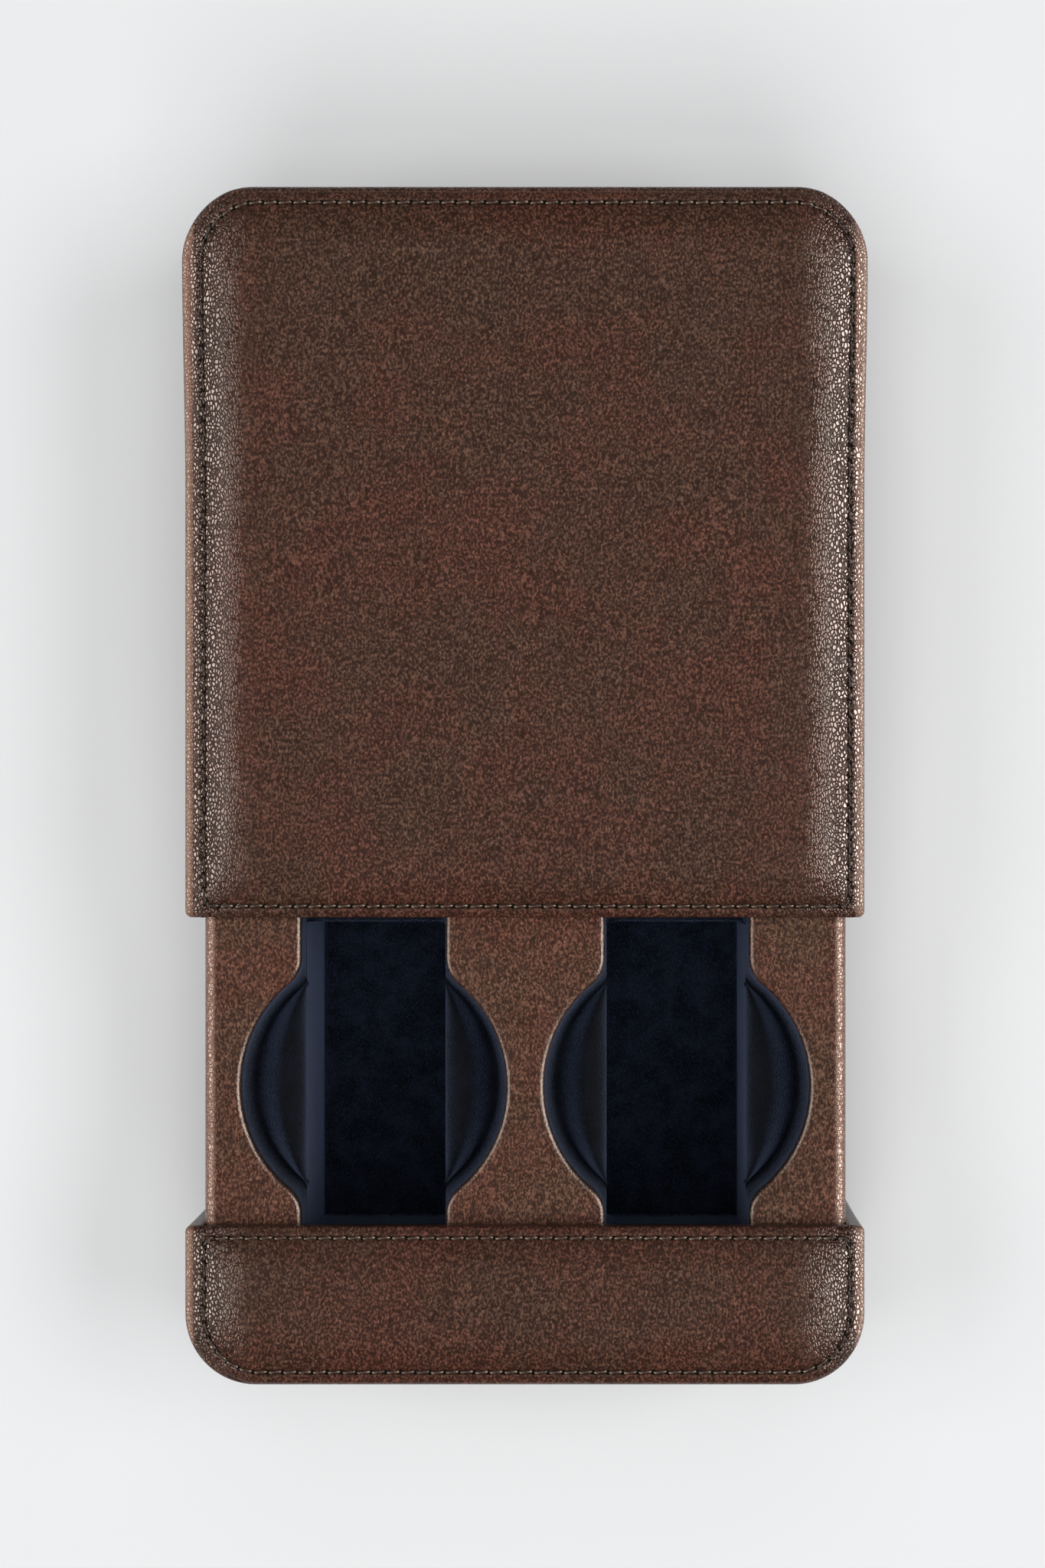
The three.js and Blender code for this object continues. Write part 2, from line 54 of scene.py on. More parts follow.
# ---- Floor, camera and light ----
# The case lies on a pale matt board. The camera hangs over it, a little to the right of the middle,
# and looks straight down. Five soft boxes, on both sides, in front, behind and above, light it without
# shining on it, and two low ones, left and right, only make the shine on the shoulders.

def floor_board():
    """A flat square of board whose top is at z 0, far larger than the case."""
    half = 3.0
    mesh = bpy.data.meshes.new("floor")
    corners = [(-half, -half, 0), (half, -half, 0), (half, half, 0), (-half, half, 0)]
    mesh.from_pydata(corners, [], [(0, 1, 2, 3)])
    board = bpy.data.objects.new("floor", mesh)
    bpy.context.collection.objects.link(board)
    paint = bpy.data.materials.new("pale_board")
    paint.use_nodes = True
    shader = paint.node_tree.nodes["Principled BSDF"]
    shader.inputs["Base Color"].default_value = (0.645, 0.65, 0.655, 1)
    shader.inputs["Roughness"].default_value = 0.9
    shader.inputs["Specular IOR Level"].default_value = 0.15
    mesh.materials.append(paint)


def soft_box(name, place, aim, size, power, gleam):
    """A rectangular area light at place, turned so that it faces aim. With gleam it only makes the shine,
    and without gleam it only lights, as lamps and lens behind crossed polarisers do."""
    lamp = bpy.data.lights.new(name, "AREA")
    lamp.shape = "RECTANGLE"
    lamp.size, lamp.size_y = size
    lamp.energy = power
    holder = bpy.data.objects.new(name, lamp)
    bpy.context.collection.objects.link(holder)
    holder.location = place
    holder.visible_glossy = gleam
    holder.visible_diffuse = not gleam
    toward = np.array(aim, float) - np.array(place, float)
    flat = math.hypot(toward[0], toward[1])
    tilt = math.atan2(flat, -toward[2])
    heading = math.atan2(toward[1], toward[0]) - math.pi / 2
    holder.rotation_euler = (tilt, 0, heading)


camera_data = bpy.data.cameras.new("camera")
camera_data.lens = 72.7
camera_data.shift_x = -0.0505
camera = bpy.data.objects.new("camera", camera_data)
bpy.context.collection.objects.link(camera)
camera.location = (0.014, 0.0006, 0.635)
bpy.context.scene.camera = camera
bpy.context.scene.view_settings.view_transform = "Standard"

floor_board()
# Each lamp: name, place, point that it faces, width and height in metres, watts, gleam.
mid_case = (0, 0, 0.03)
on_floor = (0, 0, 0)
lamps = [
    ("left_light", (-0.95, 0.0, 1.6), mid_case, (1.0, 0.6), 9.0, False),
    ("right_light", (0.95, 0.0, 1.6), mid_case, (1.0, 0.6), 13.0, False),
    ("front_light", (0.0, -2.1, 3.2), on_floor, (2.4, 1.8), 66.0, False),
    ("rear_light", (0.0, 2.1, 3.2), on_floor, (2.4, 1.8), 15.0, False),
    ("top_light", (0.0, -0.1, 3.0), on_floor, (1.5, 1.5), 30.0, False),
    ("left_shine", (-1.2, 0.0, 0.6), mid_case, (1.3, 1.0), 30.0, True),
    ("right_shine", (1.2, 0.0, 0.6), mid_case, (1.3, 1.0), 54.0, True),
]
for name, place, aim, size, power, gleam in lamps:
    soft_box(name, place, aim, size, power, gleam)
sky = bpy.data.worlds.new("room")
sky.use_nodes = True
sky.node_tree.nodes["Background"].inputs["Color"].default_value = (0.93, 0.96, 1.0, 1)
sky.node_tree.nodes["Background"].inputs["Strength"].default_value = 0.07
bpy.context.scene.world = sky


# ---- Brown grained leather ----
# Full-grain goat leather, dyed dark brown and lightly polished: polygonal pebbles 0.7 mm across with
# darker creases between them, dark partly from the dye and partly as painted shade, and a slow drift
# between red brown and olive brown. A painted highlight makes its lit upper side edges pale.

class Recipe:
    """A material's node tree, with one short call for each node that is added and joined up."""

    def __init__(self, name):
        self.material = bpy.data.materials.new(name)
        self.material.use_nodes = True
        self.tree = self.material.node_tree
        self.shader = self.tree.nodes["Principled BSDF"]

    def add(self, kind, settings=None, **sockets):
        """A node of this kind. A socket is given by its name, or as in0, in1 where names repeat."""
        node = self.tree.nodes.new(kind)
        for key, value in (settings or {}).items():
            setattr(node, key, value)
        for key, value in sockets.items():
            self.feed(node, key.replace("_", " "), value)
        return node

    def feed(self, node, key, value):
        numbered = key.startswith("in") and key[2:].isdigit()
        socket = node.inputs[int(key[2:])] if numbered else node.inputs[key]
        if isinstance(value, bpy.types.NodeSocket):
            self.tree.links.new(value, socket)
        else:
            socket.default_value = value

    def math(self, operation, first, second=0.0, third=0.0):
        """One Math node. MULTIPLY_ADD is first times second plus third."""
        node = self.add("ShaderNodeMath", {"operation": operation}, in0=first, in1=second, in2=third)
        return node.outputs[0]

    def step(self, value, low, high):
        """Smoothly from 0 at low to 1 at high."""
        node = self.add("ShaderNodeMapRange", {"interpolation_type": "SMOOTHSTEP"})
        self.feed(node, "Value", value)
        self.feed(node, "From Min", low)
        self.feed(node, "From Max", high)
        return node.outputs[0]

    def blend(self, factor, first, second, kind="MIX"):
        """A colour that goes from first at factor 0 to second, or first times second, at factor 1."""
        node = self.add("ShaderNodeMix", {"data_type": "RGBA", "blend_type": kind})
        for index, value in ((0, factor), (6, first), (7, second)):
            if isinstance(value, bpy.types.NodeSocket):
                self.tree.links.new(value, node.inputs[index])
            else:
                node.inputs[index].default_value = value
        return node.outputs[2]

    def noise(self, vector, scale, detail=2.0, roughness=0.5):
        return self.add("ShaderNodeTexNoise", Vector=vector, Scale=scale, Detail=detail, Roughness=roughness)

    def cells(self, vector, scale, feature="DISTANCE_TO_EDGE"):
        return self.add("ShaderNodeTexVoronoi", {"feature": feature}, Vector=vector, Scale=scale)

    def mix(self, factor, first, second):
        """A number that goes from first at factor 0 to second at factor 1."""
        node = self.add("ShaderNodeMix", {"data_type": "FLOAT"}, in0=factor, in2=first, in3=second)
        return node.outputs[0]

    def finish(self, colour, roughness, bump_height, depth, strength=1.0):
        """Colour, roughness and a relief of this depth in metres go into the shader."""
        bump = self.add("ShaderNodeBump", Height=bump_height, Distance=depth, Strength=strength)
        self.feed(self.shader, "Base Color", colour)
        self.feed(self.shader, "Roughness", roughness)
        self.feed(self.shader, "Normal", bump.outputs[0])
        return self.material


def rgb(red, green, blue):
    """A display colour from 0 to 255 as the linear colour that a shader takes."""
    display = np.array([red, green, blue]) / 255
    linear = np.where(display <= 0.04045, display / 12.92, ((display + 0.055) / 1.055) ** 2.4)
    return (*linear.tolist(), 1.0)


STITCH_PITCH = 2.75 * MM
SEAM_INSET = 2.1 * MM
PEBBLES_PER_METRE = 1500.0
DRAWN_FROM, DRAWN_TO = 47.5 * MM, 58.0 * MM
ROLL_WIDTH = 1.2 * MM
CREASE_DEPTH = 0.04 * MM
# A pale brown painted as highlight on the lit upper side edges and the rolled edge, and a black painted as
# shade in the needle holes.
highlight_brown = rgb(132, 96, 80)
hole_shade_black = (0.002, 0.0015, 0.001, 1)


def needle_holes(make, colour, height, dye_and_shade_dark):
    """Paints shade into the furrow along the seam, and sinks a round hole at each end of a stitch, painted
    black as shade. On the UV map called seam, u counts stitches and v is the way in from the edge, in
    centimetres. Both are turned into millimetres from the nearest hole."""
    along = make.add("ShaderNodeUVMap", {"uv_map": "seam"}).outputs[0]
    split = make.add("ShaderNodeSeparateXYZ", Vector=along).outputs
    from_middle = make.math("ABSOLUTE", make.math("SUBTRACT", make.math("FRACT", split[0]), 0.5))
    lengthwise = make.math("MULTIPLY", make.math("SUBTRACT", 0.5, from_middle), STITCH_PITCH / MM)
    crosswise = make.math("SUBTRACT", make.math("MULTIPLY", split[1], 10.0), SEAM_INSET / MM)
    squares = make.math("ADD", make.math("POWER", lengthwise, 2.0), make.math("POWER", crosswise, 2.0))
    hole = make.math("SUBTRACT", 1.0, make.step(make.math("SQRT", squares), 0.25, 0.6))
    furrow_shade = make.math("SUBTRACT", 1.0, make.step(make.math("ABSOLUTE", crosswise), 0.1, 0.75))
    # Painted shade: the furrow is blended toward the dark brown, and each hole is painted black.
    colour = make.blend(make.math("MULTIPLY", furrow_shade, 0.7), colour, dye_and_shade_dark)
    colour = make.blend(hole, colour, hole_shade_black)
    height = make.math("SUBTRACT", height, make.math("MULTIPLY", hole, 2.5))
    return colour, height


def painted_corner_highlight(make, where, across, colour):
    """A painted highlight on the upper outside corners of the walls and covers, where the side lamps shine:
    high up times far out to the side.
    """
    high = make.add("ShaderNodeSeparateXYZ", Vector=where).outputs[2]
    at_top = make.step(high, 57.4 * MM, 58.6 * MM)
    at_side = make.step(across, 59.9 * MM, 60.7 * MM)
    corner_highlight = make.math("MULTIPLY", make.math("MULTIPLY", at_top, at_side), 0.6)
    return make.blend(corner_highlight, colour, highlight_brown)


def grained_leather(name, red, olive, dye_and_shade_dark, stretch=(1, 1, 1), seam=False, rolled=None):
    """Pebbles are voronoi cells with rounded tops, and no two are quite the same tone. The flat is mottled
    with pale flecks and dark pits; toward the sides, where the side lamps shine, the leather is drawn: there
    the creases are deep and darker, partly from the dye and partly as painted shade, and only the pebbles'
    tops shine. stretch squeezes the pebbles along an axis, seam adds the needle holes, and rolled gives the
    x beyond which the grain is pulled into short wrinkles across the edge, which is painted pale as
    highlight."""
    make = Recipe(name)
    where = make.add("ShaderNodeTexCoord").outputs["Object"]
    across = make.math("ABSOLUTE", make.add("ShaderNodeSeparateXYZ", Vector=where).outputs[0])
    drawn = 0.6
    if rolled:
        drawn = make.step(across, rolled, rolled + ROLL_WIDTH)
    elif seam:
        drawn = make.step(across, DRAWN_FROM, DRAWN_TO)

    # The grain: cells bent a little by noise, a tone by chance for each, and a fine powder over all.
    wander = make.noise(where, 170.0, 2.0).outputs["Color"]
    bent = make.add("ShaderNodeVectorMath", {"operation": "MULTIPLY_ADD"},
                    in0=wander, in1=(1.4 * MM,) * 3, in2=where).outputs[0]
    fitted = make.add("ShaderNodeMapping", Vector=bent, Scale=stretch).outputs[0]
    edges = make.cells(fitted, PEBBLES_PER_METRE).outputs["Distance"]
    pebbles = make.cells(fitted, PEBBLES_PER_METRE, "F1").outputs["Color"]
    chance = make.add("ShaderNodeSeparateColor", Color=pebbles).outputs
    top = make.step(edges, 0.0, 0.26)
    powder = make.noise(where, 4200.0, 2.0).outputs["Fac"]
    height = make.math("MULTIPLY_ADD", powder, 0.12, make.math("MULTIPLY_ADD", chance[0], 0.3, top))

    # The colour: the slow drift, each pebble's own brightness, the mottle of the flat, and the creases, dark
    # partly from the dye and partly as painted shade that deepens toward the lit sides.
    drift = make.step(make.noise(where, 70.0, 3.0, 0.55).outputs["Fac"], 0.38, 0.62)
    cloud = make.step(make.noise(where, 17.0, 2.0).outputs["Fac"], 0.3, 0.7)
    toned = make.blend(make.math("MULTIPLY_ADD", cloud, 0.4, make.math("MULTIPLY", drift, 0.6)), red, olive)
    bright = make.math("MULTIPLY_ADD", chance[1], 0.44, 0.78)
    shade = make.add("ShaderNodeCombineColor", Red=bright, Green=bright, Blue=bright).outputs[0]
    mottle = make.step(make.noise(fitted, 2000.0, 1.0).outputs["Fac"], 0.4, 0.68)
    mottled = make.blend(mottle, (0.33, 0.3, 0.29, 1), (1.76, 1.92, 1.98, 1))
    toned = make.blend(make.math("MULTIPLY_ADD", drawn, -0.6, 0.9), toned, mottled, "MULTIPLY")
    # Painted shade: the creases darken more where the side lamps shine.
    crease_dye_and_shade_strength = make.math("MULTIPLY_ADD", drawn, 0.4, 0.55)
    inside = make.math("DIVIDE", edges, make.math("MULTIPLY_ADD", drawn, 0.12, 0.16))
    crease_dye_and_shade = make.math("MULTIPLY", make.math("SUBTRACT", 1.0, make.step(inside, 0.0, 1.0)), crease_dye_and_shade_strength)
    colour = make.blend(crease_dye_and_shade, make.blend(1.0, toned, shade, "MULTIPLY"), dye_and_shade_dark)

    if rolled:
        pulled = make.add("ShaderNodeMapping", Vector=bent, Scale=(0.25, 1.5, 0.3)).outputs[0]
        wrinkle = make.step(make.cells(pulled, 1300.0).outputs["Distance"], 0.0, 0.12)
        height = make.mix(drawn, height, wrinkle)
        # Painted highlight: the rolled edge, which faces the side lamps, is blended toward the pale brown.
        colour = make.blend(make.math("MULTIPLY", drawn, 0.75), colour, highlight_brown)
    else:
        # Painted highlight: the upper side corners, which face the side lamps, are blended toward the pale
        # brown.
        colour = painted_corner_highlight(make, where, across, colour)
    if seam:
        colour, height = needle_holes(make, colour, height, dye_and_shade_dark)
    height = make.math("MULTIPLY", height, make.math("MULTIPLY_ADD", drawn, 0.5 if rolled else 1.6, 0.6))

    # The polish: even over the flat, and only on the tops of the pebbles where the leather is drawn.
    roughness = make.math("MULTIPLY_ADD", make.noise(where, 300.0).outputs["Fac"], 0.1, 0.26)
    polish = make.math("ADD", make.step(inside, 0.25, 1.0), 0.12)
    make.feed(make.shader, "Specular IOR Level", make.mix(drawn, 0.5, polish))
    make.shader.inputs["Specular Tint"].default_value = (1.0, 0.88, 0.78, 1)
    return make.finish(colour, roughness, height, CREASE_DEPTH, 0.9)


# The crease colour is partly the dye and partly painted shade; it also paints shade into the seam's furrow.
red_brown, olive_brown, crease_dye_and_shade_brown = rgb(76, 43, 33), rgb(67, 45, 34), rgb(30, 13, 8)
cover_leather = grained_leather("cover_leather", red_brown, olive_brown, crease_dye_and_shade_brown,
                                stretch=(1.2, 0.8, 1.0), seam=True)
wall_leather = grained_leather("wall_leather", red_brown, olive_brown, crease_dye_and_shade_brown)


# ---- Padded covers ----
# Each cover is one skin of leather drawn over foam and stitched down 2 mm inside its edge. Its edge is
# turned and rounded, the seam lies in a furrow, and at the mouth the leather turns down over the board.

OFF_SEAM = 9.0


def rim_ring(half, length, inset, end_radius, mouth_radius, count):
    """A rounded rectangle from the mouth at y 0 to the closed end at y length, inset all round.
    count holds the points on a side, an end corner, the end, a mouth corner and the mouth."""
    side, corner, end, mouth_corner, mouth = count
    wide = half - inset
    low, high = inset, length - inset
    across, up = wide - end_radius, high - end_radius
    mouth_x, mouth_y = wide - mouth_radius, low + mouth_radius

    def line(first, last, points):
        part = np.linspace(0, 1, points, endpoint=False)[:, None]
        return np.array(first) * (1 - part) + np.array(last) * part

    def arc(centre, radius, start, points):
        angle = start + np.linspace(0, math.pi / 2, points, endpoint=False)
        return np.array(centre) + radius * np.stack([np.cos(angle), np.sin(angle)], 1)

    quarter = math.pi / 2
    return np.concatenate([
        line((wide, mouth_y), (wide, up), side),
        arc((across, up), end_radius, 0, corner),
        line((across, high), (-across, high), end),
        arc((-across, up), end_radius, quarter, corner),
        line((-wide, up), (-wide, mouth_y), side),
        arc((-mouth_x, mouth_y), mouth_radius, 2 * quarter, mouth_corner),
        line((-mouth_x, low), (mouth_x, low), mouth),
        arc((mouth_x, mouth_y), mouth_radius, 3 * quarter, mouth_corner),
    ])


def sheet_mesh(name, grid, wrap, uv=None, caps=False):
    """A grid of points, rings by columns, as quads that face to the left of each ring's direction.
    wrap joins the last column to the first, and caps closes the first and last rings. uv is a value for
    each column and one for each ring, which go into the map called seam."""
    rings, columns = grid.shape[:2]
    step = columns if wrap else columns - 1
    row = np.arange(rings - 1)[:, None] * columns
    next_row = row + columns
    here = np.arange(step)[None, :]
    after = (here + 1) % columns
    corners = np.stack([row + here, row + after, next_row + after, next_row + here], -1)
    faces = corners.reshape(-1, 4).tolist()
    if caps:
        faces.append(list(range(columns))[::-1])
        faces.append(list(range((rings - 1) * columns, rings * columns)))
    mesh = bpy.data.meshes.new(name)
    mesh.from_pydata(grid.reshape(-1, 3).tolist(), [], faces)
    if uv is not None:
        layer = mesh.uv_layers.new(name="seam")
        u, v = uv
        shape = (rings - 1, step)
        left, right = np.broadcast_to(u[:step], shape), np.broadcast_to(u[1:step + 1], shape)
        low, high = np.broadcast_to(v[:-1, None], shape), np.broadcast_to(v[1:, None], shape)
        quads = np.stack([left, low, right, low, right, high, left, high], -1).reshape(-1)
        values = np.full(len(mesh.loops) * 2, OFF_SEAM)
        values[:len(quads)] = quads
        layer.data.foreach_set("uv", values)
    mesh.polygons.foreach_set("use_smooth", [True] * len(mesh.polygons))
    mesh.update()
    piece = bpy.data.objects.new(name, mesh)
    bpy.context.collection.objects.link(piece)
    return piece


def finish_piece(piece, body, slot, material, *nodes):
    """Gives a piece its material and the body that it rides on, and hides the nodes that it stands for. slot
    is not used.
    """
    piece.data.materials.append(material)
    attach(piece, body)
    if nodes:
        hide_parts(*nodes)


COVER_EDGE_RADIUS = 12.6 * MM
MOUTH_CORNER_RADIUS = 1.5 * MM
CORNER_EASES = 4.4 * MM
PAD_START = 2.75 * MM
PAD_ROLL = 7.6 * MM
PAD_FOOT = 0.95 * MM
WAVES_FROM = 1.2 * MM
LEATHER = 1.0 * MM
FLANGE_INSET = 0.4 * MM
PUCKER = 0.07 * MM
LIP_END = 2.6 * MM
LEFT_SHOULDER = 1.15 * MM
RIGHT_SHOULDER = 0.35 * MM
WAIST = 0.62 * MM
WAIST_END_Y = 98 * MM
WAIST_FADE = 45 * MM


def ring_radii(inset, half, length):
    """Corner radii of a ring at the closed end and at the mouth. The end's are concentric with the edge
    for CORNER_EASES, then shrink a fifth as fast. The mouth's grow inward from the seam."""
    room = 0.96 * (min(half, length / 2) - inset)
    end = COVER_EDGE_RADIUS - min(inset, CORNER_EASES) - 0.2 * max(inset - CORNER_EASES, 0)
    mouth = MOUTH_CORNER_RADIUS + 0.45 * max(inset - SEAM_INSET, 0)
    return min(end, room), min(mouth, room)


def pad_height(inset, crown):
    """Height of the leather's upper side over the flange. With t from 0 at the pad's start to 1 after
    PAD_ROLL, the pad climbs from its foot as 1 - (1 - t)^2.2: steepest at the seam, level at the crown."""
    along = np.clip((inset - PAD_START) / PAD_ROLL, 0, 1)
    return PAD_FOOT + (crown - PAD_FOOT) * (1 - (1 - along) ** 2.2)


def waves(plan, share):
    """The unevenness of the foam: a product of long sine waves across and along, plus one short slanting
    wave, all lowered so that the crown is never passed. share is how much of it is taken."""
    x, y = plan[:, 0] / MM, plan[:, 1] / MM
    low = 0.1 * np.sin(x / 15 + 1.3) * np.sin(y / 19 + 0.7) + 0.05 * np.sin(x / 6.3 + y / 8.9)
    return share * (low - 0.16) * MM


def padded_cover(name, gusset, crown, lip, left, turn, lift):
    """A closed skin of rings, each a rounded rectangle with an inset and a height: out along the
    underside, round the turned edge, down into the furrow and up over the pad to the middle.
    left is the side of its own frame that is the case's left. turn is the signs that x and y are
    multiplied by to set it into the case, and lift is (y, z, up or down)."""
    low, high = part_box(gusset)
    half = (high[0] - low[0]) / 2 - FLANGE_INSET
    length = high[1] - low[1] - FLANGE_INSET
    spacing = 0.7 * MM
    side = int((length - COVER_EDGE_RADIUS) / spacing)
    end = int(2 * (half - COVER_EDGE_RADIUS) / spacing)
    end_corner, mouth_corner = 22, 4
    count = (side, end_corner, end, mouth_corner, int(2 * half / spacing))

    seam = rim_ring(half, length, SEAM_INSET, COVER_EDGE_RADIUS - SEAM_INSET, MOUTH_CORNER_RADIUS, count)
    gaps = np.linalg.norm(np.roll(seam, -1, 0) - seam, axis=1)
    stitches = round(gaps.sum() / STITCH_PITCH)
    along = np.concatenate([[0], np.cumsum(gaps)]) / gaps.sum() * stitches

    # The profile: insets and heights (in mm for the edge), and what share of the lip each goes down at
    # the mouth. The edge runs from the underside round the turned edge and through the furrow.
    inner = np.concatenate([[PAD_START + PAD_ROLL], np.linspace(11, 5.2, 6) * MM])
    under = [(d, max(pad_height(d, crown) - LEATHER, 0), 0) for d in inner]
    edge = [(4.9, 0, 0), (1.05, 0, 0), (1.0, 0, 1), (0.3, 0, 1), (0.06, 0.06, 0.96), (0, 0.16, 0.5),
            (0.05, 0.28, 0.1), (0.2, 0.4, 0), (0.45, 0.54, 0), (0.75, 0.71, 0), (1.05, 0.87, 0),
            (1.32, 0.98, 0), (1.55, 1.02, 0), (1.75, 0.96, 0), (1.92, 0.8, 0), (2.1, 0.62, 0),
            (2.35, 0.68, 0), (2.6, 0.84, 0)]
    edge = [(d * MM, z * MM, drop) for d, z, drop in edge]
    roll = PAD_START + PAD_ROLL * np.linspace(0.01, 1, 24) ** 1.25
    profile = under + edge + [(d, pad_height(d, crown), 0) for d in roll]

    rings = []
    for inset, height, drop in profile:
        end_radius, mouth_radius = ring_radii(inset, half, length)
        ring = rim_ring(half, length, inset, end_radius, mouth_radius, count)
        at_mouth = (ring[:, 1] < inset + 0.4 * MM) & (np.abs(ring[:, 0]) < half - LIP_END)
        z = height - drop * lip * at_mouth
        if height > 0.3 * MM:
            pull = np.exp(-((inset - SEAM_INSET) / (1.3 * MM)) ** 2)
            z = z - PUCKER * pull * np.cos(2 * math.pi * along[:-1])
        if height > WAVES_FROM:
            z = z + waves(ring, min((height - WAVES_FROM) / (1.0 * MM), 1))
        rings.append(np.column_stack([ring, z]))
    # From the level of the pad inward, the rings shrink to the middle of the cover, above and below.
    level_ring = rings[-1][:, :2]
    middle = np.array([0, length / 2])
    above, below = [], []
    for share in (0.95, 0.88, 0.79, 0.69, 0.58, 0.46, 0.34, 0.22, 0.12, 0.05):
        plan = middle + (level_ring - middle) * share
        above.append(np.column_stack([plan, crown + waves(plan, 1.0)]))
        below.append(np.column_stack([plan, np.full(len(plan), crown - LEATHER)]))
    grid = np.array(below[::-1] + rings + above)
    grid = set_in_case(grid, half, left, turn, lift)
    seam_path = np.column_stack([seam, np.zeros(len(seam))])
    seam_path = set_in_case(seam_path[None], half, left, turn, lift)[0]
    insets = np.full(len(grid), OFF_SEAM)
    outer_side = slice(len(below) + len(under) + 2, len(below) + len(profile))
    insets[outer_side] = [ring_profile[0] / (10 * MM) for ring_profile in profile[len(under) + 2:]]
    return sheet_mesh(name, grid, True, (along, insets), caps=True), seam_path, along, stitches


def waisted(x, y, half):
    """The glued sides have drawn in by WAIST, except near the sleeve's closed end, where the draw fades
    out as a smooth step 3t^2 - 2t^3 along y."""
    share = np.clip((WAIST_END_Y - y) / WAIST_FADE, 0, 1)
    return x - WAIST * (x / half) * share * share * (3 - 2 * share)


def set_in_case(grid, half, left, turn, lift):
    """From the cover's own frame into the case. On the case's left the edge stands back a little,
    so that the wall's shoulder shows beyond it; on the right it stands back less."""
    grid = grid.copy()
    across = left * grid[..., 0] / half
    grid[..., 0] -= left * np.where(across > 0, LEFT_SHOULDER, RIGHT_SHOULDER) * across
    grid[..., 0] = waisted(grid[..., 0], lift[0] + turn[1] * grid[..., 1], half)
    grid[..., 0] *= turn[0]
    grid[..., 1] = lift[0] + turn[1] * grid[..., 1]
    grid[..., 2] = lift[1] + lift[2] * grid[..., 2]
    return grid


sleeve_low, sleeve_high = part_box("sleeve_gusset_leather")
sleeve_mouth = sleeve_low[1]
cap_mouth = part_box("cap_gusset_leather")[1][1]
glue = 0.1 * MM
top_z = sleeve_high[2] + glue
bottom_z = sleeve_low[2] - glue
top_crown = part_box("sleeve_top_leather")[1][2] - top_z
bottom_crown = bottom_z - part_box("sleeve_bottom_leather")[0][2]
sleeve_lip = top_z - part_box("sleeve_top_leather")[0][2]
sleeve_low_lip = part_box("sleeve_bottom_leather")[1][2] - bottom_z
cap_lip = top_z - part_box("cap_top_leather")[0][2]
cap_low_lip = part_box("cap_bottom_leather")[1][2] - bottom_z

# Each cover: name, wall that it sits on, crown, lip, left side of its frame, signs of x and y, (y of the
# mouth, z, up or down), body.
sleeve_wall_node, cap_wall_node = "sleeve_gusset_leather", "cap_gusset_leather"
covers = [
    ("sleeve_top", sleeve_wall_node, top_crown, sleeve_lip, -1, (1, 1), (sleeve_mouth, top_z, 1), "sleeve"),
    ("sleeve_bottom", sleeve_wall_node, bottom_crown, sleeve_low_lip, 1, (-1, 1),
     (sleeve_mouth, bottom_z, -1), "sleeve"),
    ("cap_top", cap_wall_node, top_crown, cap_lip, 1, (-1, -1), (cap_mouth, top_z, 1), "tray"),
    ("cap_bottom", cap_wall_node, bottom_crown, cap_low_lip, -1, (1, -1), (cap_mouth, bottom_z, -1), "tray"),
]
seams = []
for name, wall, crown, lip, left, turn, lift, body in covers:
    cover, seam_path, along, stitches = padded_cover(f"{name}_cover", wall, crown, lip, left, turn, lift)
    finish_piece(cover, body, "leather", cover_leather, f"{name}_leather")
    seams.append((name, body, seam_path, along, stitches, lift[2]))


# ---- Seams ----
# A lockstitch in two-ply waxed linen, about nine stitches to the inch. Each stitch dives into a hole at
# both ends, so the ply swells beside the holes, where a painted highlight makes it pale khaki, and lies
# low and brown with grime between them. Toward the long sides it is painted darker, as shade in the furrow.

thread = Recipe("waxed_thread")
ply = thread.add("ShaderNodeUVMap", {"uv_map": "seam"}).outputs[0]
ply_along = thread.add("ShaderNodeSeparateXYZ", Vector=ply).outputs[0]
from_middle = thread.math("ABSOLUTE", thread.math("SUBTRACT", ply_along, 0.5))
swell_highlight = thread.step(from_middle, 0.2, 0.38)
thread_place = thread.add("ShaderNodeTexCoord").outputs["Object"]
grime = thread.noise(thread_place, 900.0, 3.0).outputs["Fac"]
# Painted highlight: the thread is pale khaki where it swells beside the holes.
thread_colour = thread.blend(swell_highlight, rgb(64, 49, 37), rgb(160, 143, 116))
thread_colour = thread.blend(thread.step(grime, 0.42, 0.7), thread_colour, rgb(52, 38, 28))
thread_side = thread.math("ABSOLUTE", thread.add("ShaderNodeSeparateXYZ", Vector=thread_place).outputs[0])
# Painted shade: toward the long sides the thread is blended toward a dark brown, as shade in the furrow.
side_shade = thread.math("MULTIPLY", thread.step(thread_side, 54.0 * MM, 58.0 * MM), 0.75)
thread_colour = thread.blend(side_shade, thread_colour, rgb(40, 26, 20))
thread_fuzz = thread.noise(thread_place, 9000.0).outputs["Fac"]
waxed_thread = thread.finish(thread_colour, 0.62, thread_fuzz, 0.05 * MM)

PLY_RADIUS = 0.135 * MM
STITCH_SECTIONS = 8
PLY_SIDES = 5
HOLE_GAP = 0.08


